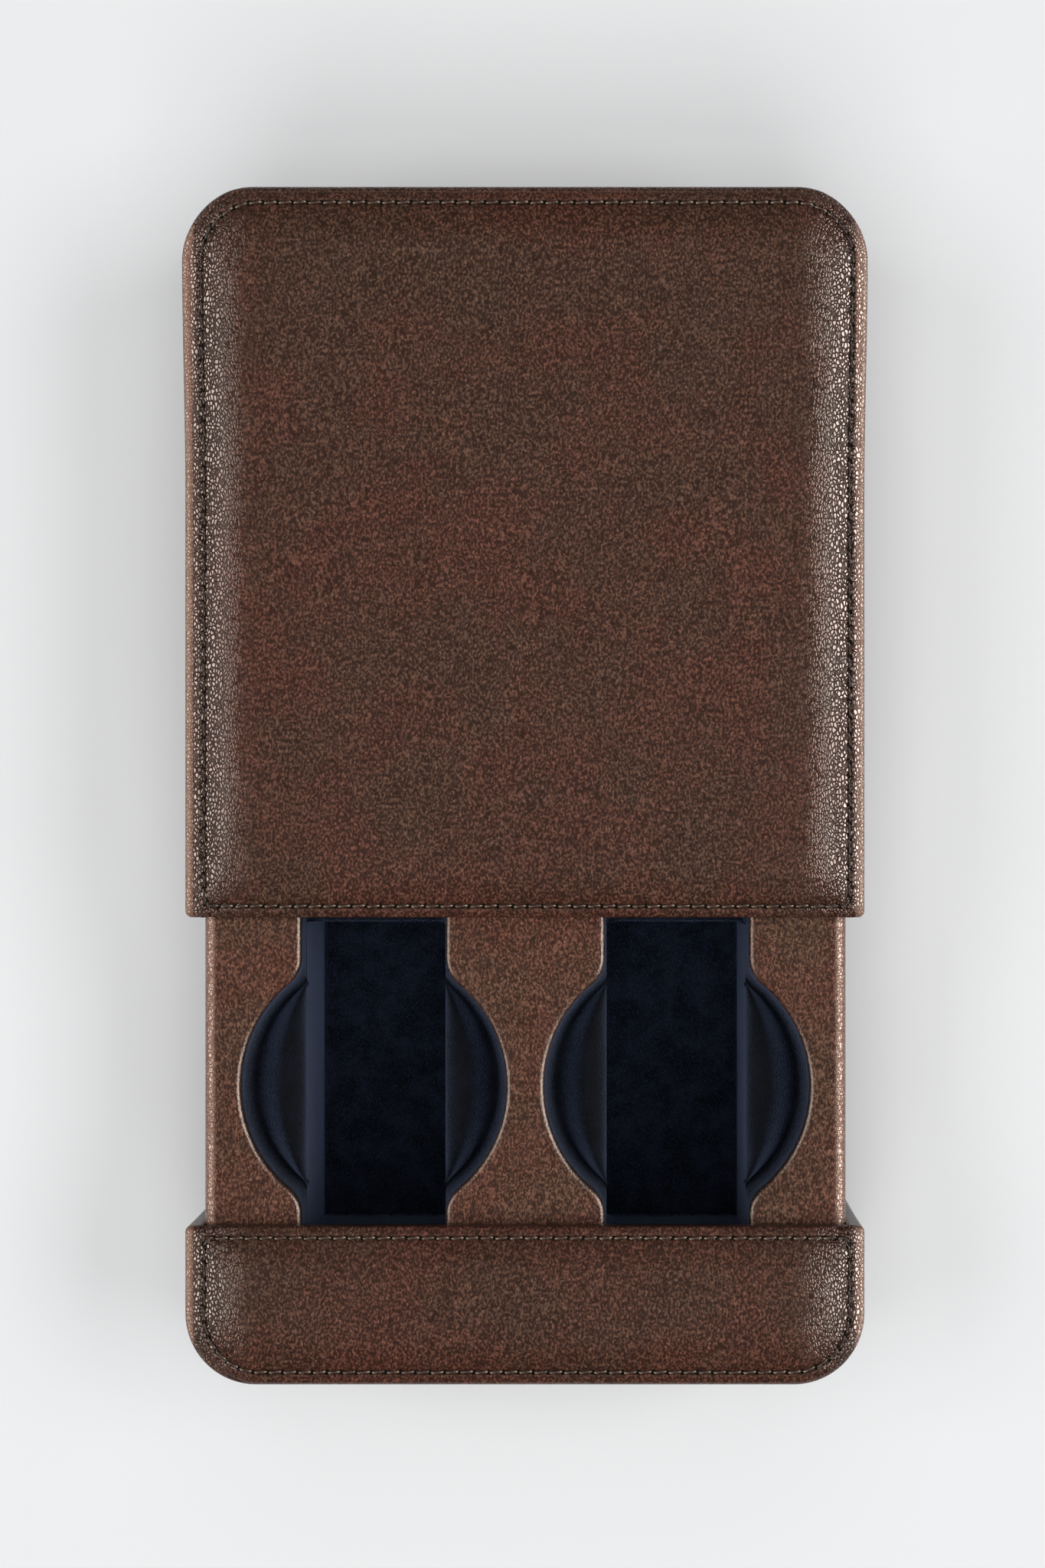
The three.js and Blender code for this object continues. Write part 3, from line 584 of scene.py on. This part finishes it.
def stitch_row(name, path, along, stitches, up):
    """Two plies twist round the line from hole to hole, which dives at both ends and rises just inside
    them, each as a bell curve. A ply's centre is that line plus a small circle that makes one turn and
    a half, and its section is a ring of PLY_SIDES points."""
    closed = np.vstack([path, path[:1]])
    part = np.linspace(HOLE_GAP, 1 - HOLE_GAP, STITCH_SECTIONS)

    def on_seam(count, period=None):
        return np.stack([np.interp(count, along, closed[:, axis], period=period) for axis in range(3)], -1)

    u = np.arange(stitches)[:, None] + part[None, :]
    centre = on_seam(u)
    forward = on_seam(u + 0.02, stitches) - centre
    forward /= np.linalg.norm(forward, axis=-1, keepdims=True) + 1e-12
    aside = np.stack([-forward[..., 1], forward[..., 0], np.zeros_like(u)], -1)
    upright = np.zeros_like(centre)
    upright[..., 2] = up
    ends = np.minimum(part, 1 - part)
    dive = 0.3 * MM * np.exp(-((ends - HOLE_GAP) / 0.04) ** 2)
    swell = 0.12 * MM * np.exp(-((ends - 0.2) / 0.08) ** 2)
    rise = 0.8 * MM - dive + swell
    slant = 0.16 * MM * (part - 0.5) * 2
    chance = np.random.default_rng(7).normal(0, 1, (stitches, 2))
    centre = centre + upright * (rise[None, :, None] + 0.02 * MM * chance[:, :1, None])
    centre = centre + aside * (slant[None, :, None] + 0.03 * MM * chance[:, 1:, None])
    plump = 0.75 + 0.35 * np.exp(-((ends - 0.2) / 0.09) ** 2)
    points, uv, faces = [], [], []
    for strand in (0, math.pi):
        twist = strand + 3 * math.pi * part
        middle = centre + 0.8 * PLY_RADIUS * (
            aside * np.cos(twist)[None, :, None] + 0.7 * upright * np.sin(twist)[None, :, None])
        turn = np.linspace(0, 2 * math.pi, PLY_SIDES, endpoint=False)
        ring = (aside[:, :, None, :] * np.cos(turn)[None, None, :, None]
                + upright[:, :, None, :] * np.sin(turn)[None, None, :, None])
        tube = middle[:, :, None, :] + PLY_RADIUS * plump[None, :, None, None] * ring
        first = len(points) * stitches * STITCH_SECTIONS * PLY_SIDES
        points.append(tube.reshape(-1, 3))
        base = first + np.arange(stitches)[:, None, None] * STITCH_SECTIONS * PLY_SIDES
        base = base + np.arange(STITCH_SECTIONS - 1)[None, :, None] * PLY_SIDES
        here = np.arange(PLY_SIDES)[None, None, :]
        after = (here + 1) % PLY_SIDES
        quads = np.stack([base + here, base + here + PLY_SIDES, base + after + PLY_SIDES, base + after], -1)
        faces += quads.reshape(-1, 4)[:, ::int(up)].tolist()
        whole = first + np.arange(stitches)[:, None] * STITCH_SECTIONS * PLY_SIDES
        end_ring = (STITCH_SECTIONS - 1) * PLY_SIDES
        lids = np.concatenate([whole + here[0], whole + end_ring + here[0, :, ::-1]])
        faces += lids[:, ::int(up)].tolist()
    vertices = np.concatenate(points)
    mesh = bpy.data.meshes.new(name)
    mesh.from_pydata(vertices.tolist(), [], faces)
    layer = mesh.uv_layers.new(name="seam")
    which = np.zeros(len(mesh.loops), int)
    mesh.loops.foreach_get("vertex_index", which)
    section = (which // PLY_SIDES) % STITCH_SECTIONS
    values = np.stack([part[section], (which % PLY_SIDES) / PLY_SIDES], -1)
    layer.data.foreach_set("uv", values.reshape(-1))
    mesh.polygons.foreach_set("use_smooth", [True] * len(mesh.polygons))
    row = bpy.data.objects.new(name, mesh)
    bpy.context.collection.objects.link(row)
    return row


for name, body, path, along, stitches, up in seams:
    row = stitch_row(f"{name}_stitches", path, along, stitches, up)
    finish_piece(row, body, "thread", waxed_thread, f"{name}_thread")


# ---- Side walls ----
# One strip of leather goes round three sides of the sleeve, and one round the cap. Its upper and lower
# edges are turned in under the covers, and at the mouth it turns in round the edge of the rail.

MOUTH_BEND = 1.2 * MM
REAR_BULGE = 0.6 * MM
BULGE_START_Y = 99 * MM
BULGE_REACH = 9 * MM


def wall_path(half, length, radius, hook, spacing):
    """Points and outward directions from the hook inside the right mouth edge, up the right side, round
    the closed end and down to the left hook. The turns at the mouth have a radius of MOUTH_BEND."""
    bend = MOUTH_BEND
    pieces, outward = [], []

    def line(first, last, direction):
        points = max(int(np.linalg.norm(np.subtract(last, first)) / spacing), 2)
        part = np.linspace(0, 1, points, endpoint=False)[:, None]
        pieces.append(np.array(first) * (1 - part) + np.array(last) * part)
        outward.append(np.broadcast_to(np.array(direction, float), (points, 2)))

    def arc(centre, size, start, points):
        angle = start + np.linspace(0, math.pi / 2, points, endpoint=False)
        ray = np.stack([np.cos(angle), np.sin(angle)], 1)
        pieces.append(np.array(centre) + size * ray)
        outward.append(ray)

    if hook:
        line((half - hook, 0), (half - bend, 0), (0, -1))
        arc((half - bend, bend), bend, -math.pi / 2, 7)
    start = bend if hook else 0
    line((half, start), (half, length - radius), (1, 0))
    arc((half - radius, length - radius), radius, 0, 24)
    line((half - radius, length), (radius - half, length), (0, 1))
    arc((radius - half, length - radius), radius, math.pi / 2, 24)
    line((-half, length - radius), (-half, start), (-1, 0))
    if hook:
        arc((bend - half, bend), bend, math.pi, 7)
        line((bend - half, 0), (hook - half, 0), (0, -1))
        pieces.append(np.array([(hook - half, 0)]))
        outward.append(np.array([(0.0, -1.0)]))
    else:
        pieces.append(np.array([(-half, 0)]))
        outward.append(np.array([(-1.0, 0.0)]))
    return np.concatenate(pieces), np.concatenate(outward)


def wall_strip(name, node, radius, thickness, hook, turn, sag, shoulder, proud, flap):
    """The wall's section, an upright strip with rounded edges, carried along the path. shoulder is how
    far in and down each edge is rounded, proud how far it stands above the board, and flap how far in
    it is turned under the cover. sag draws the middle of the wall in between its two seams."""
    low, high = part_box(node)
    half = (high[0] - low[0]) / 2
    length = high[1] - low[1]
    path, outward = wall_path(half, length, radius, hook, 1.5 * MM)
    height = high[2] - low[2]
    deep, tall = shoulder
    bend = np.linspace(0, math.pi / 2, 9)
    rise = np.linspace(tall, height - tall, 26)
    hollow = sag * np.clip(np.sin(math.pi * (rise - tall) / (height - 2 * tall)), 0, 1) ** 0.8
    over_edge, up_edge = 1 - np.sin(bend), 1 - np.cos(bend)
    outer_in = np.concatenate([deep * over_edge[:-1], hollow, deep * up_edge[1:]])
    outer_up = np.concatenate([tall * up_edge[:-1], rise, height - tall * over_edge[1:]])
    outer_up = height / 2 + (outer_up - height / 2) * (1 + 2 * proud / height)
    tuck, over = deep + 0.1 * MM, height + 0.08 * MM
    back = max(thickness + sag, deep)
    inner_in = np.array([tuck, flap, flap, back, back, back, back, back, flap, flap, tuck])
    inner_up = np.concatenate([[over, over], [height], np.linspace(height, 0, 5), [0], [height - over] * 2])
    inward = np.concatenate([outer_in, inner_in])
    up = np.concatenate([outer_up, inner_up])
    plan = path[:, None, :] - outward[:, None, :] * inward[None, :, None]
    z = np.broadcast_to(up[None, :, None], plan.shape[:2] + (1,))
    grid = np.concatenate([plan, z], -1)
    gaps = np.concatenate([[0], np.cumsum(np.linalg.norm(np.diff(path, axis=0), axis=1))]) / (10 * MM)
    grid[..., 0] *= turn
    grid[..., 1] = (low[1] if turn > 0 else high[1]) + turn * grid[..., 1]
    grid[..., 2] += low[2]
    if sag:
        grid[..., 0] = waisted(grid[..., 0], grid[..., 1], half)
        rear = np.clip((grid[..., 1] - BULGE_START_Y) / BULGE_REACH, 0, 1)
        grid[..., 1] += REAR_BULGE * rear * rear
    grid = grid[:, ::-1]
    section = np.linspace(0, 1, len(up) + 1)
    return sheet_mesh(name, grid, True, (section, gaps), caps=True)


corner_radius = 13.0 * MM
wall_edges = {"shoulder": (1.5 * MM, 1.1 * MM), "proud": 0.36 * MM, "flap": 3.0 * MM}
sleeve_wall = wall_strip("sleeve_wall", sleeve_wall_node, corner_radius, LEATHER, hook=3.0 * MM, turn=1,
                         sag=0.25 * MM, **wall_edges)
finish_piece(sleeve_wall, "sleeve", "leather", wall_leather, sleeve_wall_node)
cap_wall = wall_strip("cap_wall", cap_wall_node, corner_radius, LEATHER, hook=3.2 * MM, turn=-1,
                      sag=0.15 * MM, **wall_edges)
finish_piece(cap_wall, "tray", "leather", wall_leather, cap_wall_node)


# ---- Tray sides ----
# The tray's box is covered with the same leather, skived thinner, in one strip round three sides. It is
# glued on flat, and its upper and lower edges are only just rounded.

REAR_RADIUS = 9.0 * MM
SKIVED = 0.8 * MM
tray_wall = wall_strip("tray_wall", "tray_side_leather", REAR_RADIUS, SKIVED, hook=0, turn=1, sag=0.0,
                       shoulder=(0.3 * MM, 0.3 * MM), proud=0.08 * MM, flap=SKIVED)
finish_piece(tray_wall, "tray", "leather", wall_leather, "tray_side_leather")


# ---- Deck ----
# A thick board with four keyholes, wrapped in one skin of leather. The skin turns down into each keyhole
# over a rounded rim, and rolls over the long edges, where it is stretched into fine wrinkles.

HEAD_RADIUS = 24.35 * MM
CHANNEL_HALF = 13.26 * MM
WELL_HALF = 31.8 * MM
NECK_RADIUS = 6.2 * MM
WELL_X = 27.8 * MM
RIM = 1.0 * MM
RIM_DEPTH = 1.3 * MM
# How many points each stretch of a keyhole's outline has.
STRAIGHT, NECK, HEAD, END = 12, 12, 56, 44

deck_low, deck_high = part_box("tray_deck_leather")
front_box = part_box("well_lining_front_left")
rear_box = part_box("well_lining_rear_left")
front_y = (front_box[0][1] + front_box[1][1]) / 2
rear_y = (rear_box[0][1] + rear_box[1][1]) / 2
wells = [("front_left", -WELL_X, front_y), ("front_right", WELL_X, front_y),
         ("rear_left", -WELL_X, rear_y), ("rear_right", WELL_X, rear_y)]


def keyhole_ring(offset):
    """Once round a keyhole, centred on the well and moved outward by offset: up the right side (channel,
    neck, round head, neck, channel), across the far end, down the left side, across the near end.
    The neck is an arc that touches both the channel's side and the head's circle."""
    radius, half = HEAD_RADIUS + offset, CHANNEL_HALF + offset
    reach, neck = WELL_HALF + offset, max(NECK_RADIUS - offset, 0.3 * MM)
    neck_y = math.sqrt((radius + neck) ** 2 - (half + neck) ** 2)
    turn = math.atan2(neck_y, half + neck)
    straight_y = np.linspace(-reach, -neck_y, STRAIGHT, endpoint=False)
    straight = np.column_stack([np.full(STRAIGHT, half), straight_y])
    bend = np.linspace(math.pi, math.pi - turn, NECK, endpoint=False)
    lower = np.column_stack([half + neck + neck * np.cos(bend), -neck_y + neck * np.sin(bend)])
    sweep = np.linspace(-turn, turn, HEAD, endpoint=False)
    head = radius * np.column_stack([np.cos(sweep), np.sin(sweep)])
    upper = lower[::-1] * (1, -1)
    join = np.array([[radius * math.cos(turn), radius * math.sin(turn)]])
    upper = np.vstack([join, upper[:-1]])
    last = straight[::-1] * (1, -1)
    last = np.vstack([[[half, neck_y]], last[:-1]])
    right = np.vstack([straight, lower, head, upper, last])
    far = np.column_stack([np.linspace(half, -half, END, endpoint=False), np.full(END, reach)])
    left = right[::-1] * (-1, 1)
    left = np.vstack([[[-half, reach]], left[:-1]])
    return np.vstack([right, far, left, -far])


# The parts of a keyhole ring, in the order of its points.
RIGHT = 2 * STRAIGHT + 2 * NECK + HEAD
RIGHT_SIDE, FAR_END = slice(0, RIGHT), slice(RIGHT, RIGHT + END)
LEFT_SIDE, NEAR_END = slice(RIGHT + END, 2 * RIGHT + END), slice(2 * RIGHT + END, None)
DECK_ROLL = 2.3 * MM
deck_x = deck_high[0] - DECK_ROLL
deck_rear = deck_high[1] - DECK_ROLL
divider_y = (front_y + rear_y) / 2
SAME_PLACE = 1e-7


def on_deck_edge(points):
    """Points on the rectangle inside the rolled edge, with those near a rear corner moved on to its arc:
    half of the arc takes the points of the side, and half those of the rear."""
    radius = REAR_RADIUS - DECK_ROLL
    x, y = np.abs(points[:, 0]), points[:, 1]
    side = np.sign(points[:, 0]) + (points[:, 0] == 0)
    centre_x, centre_y = deck_x - radius, deck_rear - radius
    on_side = np.isclose(x, deck_x, rtol=0, atol=SAME_PLACE) & (y > centre_y)
    on_rear = np.isclose(y, deck_rear, rtol=0, atol=SAME_PLACE) & (x > centre_x)
    angle = np.where(on_side, (y - centre_y) / radius, 2 - (x - centre_x) / radius) * math.pi / 4
    rounded = on_side | on_rear
    moved = points.copy()
    moved[rounded, 0] = (side * (centre_x + radius * np.cos(angle)))[rounded]
    moved[rounded, 1] = (centre_y + radius * np.sin(angle))[rounded]
    return moved


def deck_cell(x, y, y_low, y_high):
    """The part of the deck round one keyhole: rings from the turned-down rim out to a rectangle, whose
    points are the keyhole's own, spread over its sides."""
    x_low, x_high = (-deck_x, 0.0) if x < 0 else (0.0, deck_x)
    key = keyhole_ring(0)
    frame_ring = key.copy()
    spread_y = y_low + (key[:, 1] + WELL_HALF) / (2 * WELL_HALF) * (y_high - y_low)
    spread_x = x_low + (key[:, 0] + CHANNEL_HALF) / (2 * CHANNEL_HALF) * (x_high - x_low)
    frame_ring[RIGHT_SIDE] = np.column_stack([np.full(RIGHT, x_high), spread_y[RIGHT_SIDE]])
    frame_ring[FAR_END] = np.column_stack([spread_x[FAR_END], np.full(END, y_high)])
    frame_ring[LEFT_SIDE] = np.column_stack([np.full(RIGHT, x_low), spread_y[LEFT_SIDE]])
    frame_ring[NEAR_END] = np.column_stack([spread_x[NEAR_END], np.full(END, y_low)])
    frame_ring = on_deck_edge(frame_ring)
    rings = [np.column_stack([key + (x, y), np.full(len(key), deck_high[2] - RIM - RIM_DEPTH)])]
    for angle in np.linspace(0, math.pi / 2, 8):
        ring = keyhole_ring(RIM * (1 - math.cos(angle))) + (x, y)
        rings.append(np.column_stack([ring, np.full(len(key), deck_high[2] - RIM * (1 - math.sin(angle)))]))
    flat = rings[-1]
    far = np.column_stack([frame_ring, np.full(len(key), deck_high[2])])
    for part in np.linspace(0, 1, 15)[1:]:
        rings.append(flat * (1 - part) + far * part)
    return np.array(rings)[::-1]


def deck_edge(cells):
    """The rolled edge and the skirt below it, up the right side, along the rear and down the left. Its
    line is made of the outer points of the cells, and its section is a quarter circle and a straight."""
    left_front, right_front, left_rear, right_rear = [cell[0][:, :2] for cell in cells]
    line = np.vstack([right_front[RIGHT_SIDE], right_rear[RIGHT_SIDE], right_rear[FAR_END],
                      left_rear[FAR_END], left_rear[LEFT_SIDE], left_front[LEFT_SIDE],
                      [[-deck_x, deck_low[1]]]])
    radius = REAR_RADIUS - DECK_ROLL
    centre = np.array([deck_x - radius, deck_rear - radius])
    corner = (np.abs(line[:, 0]) > centre[0]) & (line[:, 1] > centre[1])
    ray = np.zeros_like(line)
    toward = np.column_stack([np.abs(line[:, 0]) - centre[0], line[:, 1] - centre[1]])
    toward /= np.linalg.norm(toward, axis=1, keepdims=True)
    side = np.sign(line[:, 0])
    at_side = ~corner & np.isclose(np.abs(line[:, 0]), deck_x, rtol=0, atol=10 * SAME_PLACE)
    ray[at_side, 0] = side[at_side]
    ray[~corner & ~at_side, 1] = 1
    ray[corner] = np.column_stack([side * toward[:, 0], toward[:, 1]])[corner]
    rings = []
    for angle in np.linspace(0, math.pi / 2, 9):
        plan = line + ray * DECK_ROLL * math.sin(angle)
        z = deck_high[2] - DECK_ROLL * (1 - math.cos(angle))
        rings.append(np.column_stack([plan, np.full(len(plan), z)]))
    for z in np.linspace(deck_high[2] - DECK_ROLL, deck_low[2] + 0.1 * MM, 5)[1:]:
        rings.append(np.column_stack([line + ray * DECK_ROLL, np.full(len(line), z)]))
    return np.array(rings)[::-1]


def join_up(piece, others, gap=0.02 * MM):
    """Puts the others' meshes into piece and welds the edges that they share."""
    merged = bmesh.new()
    for part in (piece, *others):
        merged.from_mesh(part.data)
    bmesh.ops.remove_doubles(merged, verts=merged.verts, dist=gap)
    merged.to_mesh(piece.data)
    merged.free()
    for part in others:
        bpy.data.objects.remove(part)
    piece.data.polygons.foreach_set("use_smooth", [True] * len(piece.data.polygons))


deck_leather = grained_leather("deck_leather", rgb(83, 48, 36), rgb(76, 51, 38), rgb(36, 17, 11),
                               stretch=(1.3, 0.8, 1.0), rolled=56.4 * MM)
cells = []
for name, x, y in wells:
    y_low, y_high = (deck_low[1], divider_y) if y < divider_y else (divider_y, deck_rear)
    cells.append(deck_cell(x, y, y_low, y_high))
parts = [sheet_mesh(f"deck_part_{number}", cell, True) for number, cell in enumerate(cells)]
parts.append(sheet_mesh("deck_part_edge", deck_edge(cells), False))
deck = parts[0]
deck.name = "deck_skin"
join_up(deck, parts[1:])
skin = deck.modifiers.new("thickness", "SOLIDIFY")
skin.thickness = SKIVED
skin.offset = -1
finish_piece(deck, "tray", "deck_leather", deck_leather, "tray_deck_leather")


# ---- Wells ----
# Each well is lined with one piece of navy cotton velvet: down inside the rim, over a padded crescent on
# each side of the channel, and down the channel to its floor. The nap lies in soft patches.

velvet = Recipe("navy_velvet")
velvet_place = velvet.add("ShaderNodeTexCoord").outputs["Object"]
nap = velvet.noise(velvet_place, 190.0, 3.0, 0.6).outputs["Fac"]
tufts = velvet.add("ShaderNodeMapping", Vector=velvet_place, Scale=(2.2, 0.8, 1.0)).outputs[0]
pile = velvet.noise(tufts, 2600.0, 3.0, 0.7).outputs["Fac"]
velvet_colour = velvet.blend(velvet.step(nap, 0.35, 0.7), rgb(2, 3, 4), rgb(7, 9, 15))
velvet_colour = velvet.blend(velvet.step(pile, 0.45, 0.75), velvet_colour, rgb(16, 20, 31))
velvet_z = velvet.add("ShaderNodeSeparateXYZ", Vector=velvet_place).outputs[2]
depth = velvet.step(velvet_z, 28.0 * MM, 11.0 * MM)
# Painted light: down in the channel, where little light reaches, the velvet is painted 4.5 times paler.
painted_channel_light = velvet.blend(1.0, velvet_colour, (4.5, 4.5, 4.5, 1), "MULTIPLY")
velvet_colour = velvet.blend(depth, velvet_colour, painted_channel_light)
navy_velvet = velvet.finish(velvet_colour, 0.95, pile, 0.35 * MM, 0.9)
velvet.shader.inputs["Sheen Weight"].default_value = 0.3
velvet.shader.inputs["Sheen Roughness"].default_value = 0.3
velvet.shader.inputs["Sheen Tint"].default_value = (0.35, 0.45, 0.75, 1)
velvet.shader.inputs["Specular IOR Level"].default_value = 0.1

CHANNEL_IN = 12.9 * MM
CHANNEL_END = 31.4 * MM
FLOOR_Z = 9.3 * MM
PAD_RISE = 3.2 * MM
CREST_AT = 0.62
VELVET = 0.6 * MM


def well_sheet(name, x, y):
    """Rings from the top of the rim down the steep wall, across the seat and down the channel. The seat
    crosses from the head's circle straight in to the channel's side. It climbs as a squared sine to a
    padded roll at CREST_AT of the way, then turns down as a quarter of an ellipse."""
    top = deck_high[2] - 2.0 * MM
    rings = []

    def clear_of_channel(ring):
        ring = ring.copy()
        sides = np.ones(len(ring), bool)
        sides[FAR_END] = False
        sides[NEAR_END] = False
        wide = np.maximum(np.abs(ring[:, 0]), CHANNEL_IN + 0.02 * MM)
        ring[sides, 0] = (np.sign(ring[:, 0]) * wide)[sides]
        ring[:, 1] = np.clip(ring[:, 1], -CHANNEL_END - 0.3 * MM, CHANNEL_END + 0.3 * MM)
        return ring

    wall = [(0.02, top / MM), (0.0, 52.0), (-0.15, 50.8), (-0.4, 49.8), (-0.8, 48.9),
            (-1.3, 48.2), (-1.9, 47.8)]
    for offset, z in wall:
        ring = clear_of_channel(keyhole_ring(offset * MM))
        rings.append(np.column_stack([ring, np.full(len(ring), z * MM)]))
    outer = rings[-1]
    width = np.maximum(np.abs(outer[:, 0]) - CHANNEL_IN, 0)
    width[FAR_END] = 0
    width[NEAR_END] = 0
    inner = outer.copy()
    inner[:, 0] = np.clip(outer[:, 0], -CHANNEL_IN, CHANNEL_IN)
    inner[:, 1] = np.clip(outer[:, 1], -CHANNEL_END, CHANNEL_END)
    swell = PAD_RISE * np.clip(width / (6 * MM), 0, 1) ** 0.8
    turn_down = np.minimum(2.4 * MM, 0.5 * width)
    for part in 1 - (1 - np.linspace(0, 1, 22)[1:]) ** 1.4:
        ring = outer * (1 - part) + inner * part
        climb = math.sin(min(part / CREST_AT, 1) * math.pi / 2) ** 2
        over = max(part - CREST_AT, 0) / (1 - CREST_AT)
        ring[:, 2] = outer[:, 2] + swell * climb - turn_down * (1 - math.sqrt(1 - 0.985 * over ** 2))
        rings.append(ring)
    crest = rings[-1]
    for part in (0.02, 0.05, 0.1, *np.linspace(0.2, 1, 14)):
        ring = crest.copy()
        ring[:, 2] = crest[:, 2] * (1 - part) + (FLOOR_Z + 0.5 * MM) * part
        rings.append(ring)
    foot = rings[-1].copy()
    foot[:, :2] *= 0.985
    foot[:, 2] = FLOOR_Z
    rings.append(foot)
    grid = np.array(rings)
    grid[..., 0] += x
    grid[..., 1] += y
    walls = sheet_mesh(name, grid, True)
    # The floor is rows of points straight across, between the two sides of the foot.
    side_x, side_y = foot[:RIGHT + 1, 0], foot[:RIGHT + 1, 1]
    floor_x = side_x[:, None] * np.linspace(-1, 1, END + 1)[None, :]
    floor_y = np.broadcast_to(side_y[:, None], floor_x.shape)
    floor = np.stack([floor_x + x, floor_y + y, np.full(floor_x.shape, FLOOR_Z)], -1)
    base = sheet_mesh(f"{name}_floor", floor, False)
    base.data.flip_normals()
    join_up(walls, [base], 0.03 * MM)
    return walls


for name, x, y in wells:
    well = well_sheet(f"well_{name}", x, y)
    pile_side = well.modifiers.new("thickness", "SOLIDIFY")
    pile_side.thickness = VELVET
    pile_side.offset = -1
    finish_piece(well, "tray", "velvet", navy_velvet, f"well_lining_{name}")


# ---- What is inside the walls ----
# Boards, wood blocks, foam, the tray's bottom leather and the sleeve's lining stay as they were cut. Each
# gets the finish of its own stuff.

def plain_finish(name, first, second, scale, squeeze, roughness, depth, sheen=0.0):
    """Two tones in a noise, squeezed or drawn out along the axes, with the same noise as relief."""
    make = Recipe(name)
    where = make.add("ShaderNodeTexCoord").outputs["Object"]
    drawn = make.add("ShaderNodeMapping", Vector=where, Scale=squeeze).outputs[0]
    streak = make.noise(drawn, scale, 6.0, 0.65).outputs["Fac"]
    colour = make.blend(make.step(streak, 0.3, 0.7), first, second)
    make.shader.inputs["Sheen Weight"].default_value = sheen
    rough = make.math("MULTIPLY_ADD", streak, 0.1, roughness)
    return make.finish(colour, rough, streak, depth, 0.8)


finishes = {
    "board": plain_finish("grey_board", rgb(150, 143, 130), rgb(122, 116, 104),
                          900.0, (1, 1, 3), 0.85, 0.08 * MM),
    "wood": plain_finish("pale_wood", rgb(196, 160, 112), rgb(150, 112, 70),
                         260.0, (1, 0.08, 1), 0.6, 0.06 * MM),
    "foam": plain_finish("cream_foam", rgb(224, 217, 196), rgb(186, 178, 154),
                         1800.0, (1, 1, 1), 0.9, 0.2 * MM),
    "lining": plain_finish("brown_velour", rgb(60, 42, 35), rgb(38, 26, 22),
                           1500.0, (1, 1, 1), 0.9, 0.1 * MM, sheen=0.4),
    "leather": wall_leather,
}
slots = {part["node"]: part["material_slot"] for part in frame["record"]["subparts"]}
for node, slot in slots.items():
    held = bpy.data.objects.get(node)
    if held is None or slot not in finishes:
        continue
    held.data.materials.clear()
    held.data.materials.append(finishes[slot])
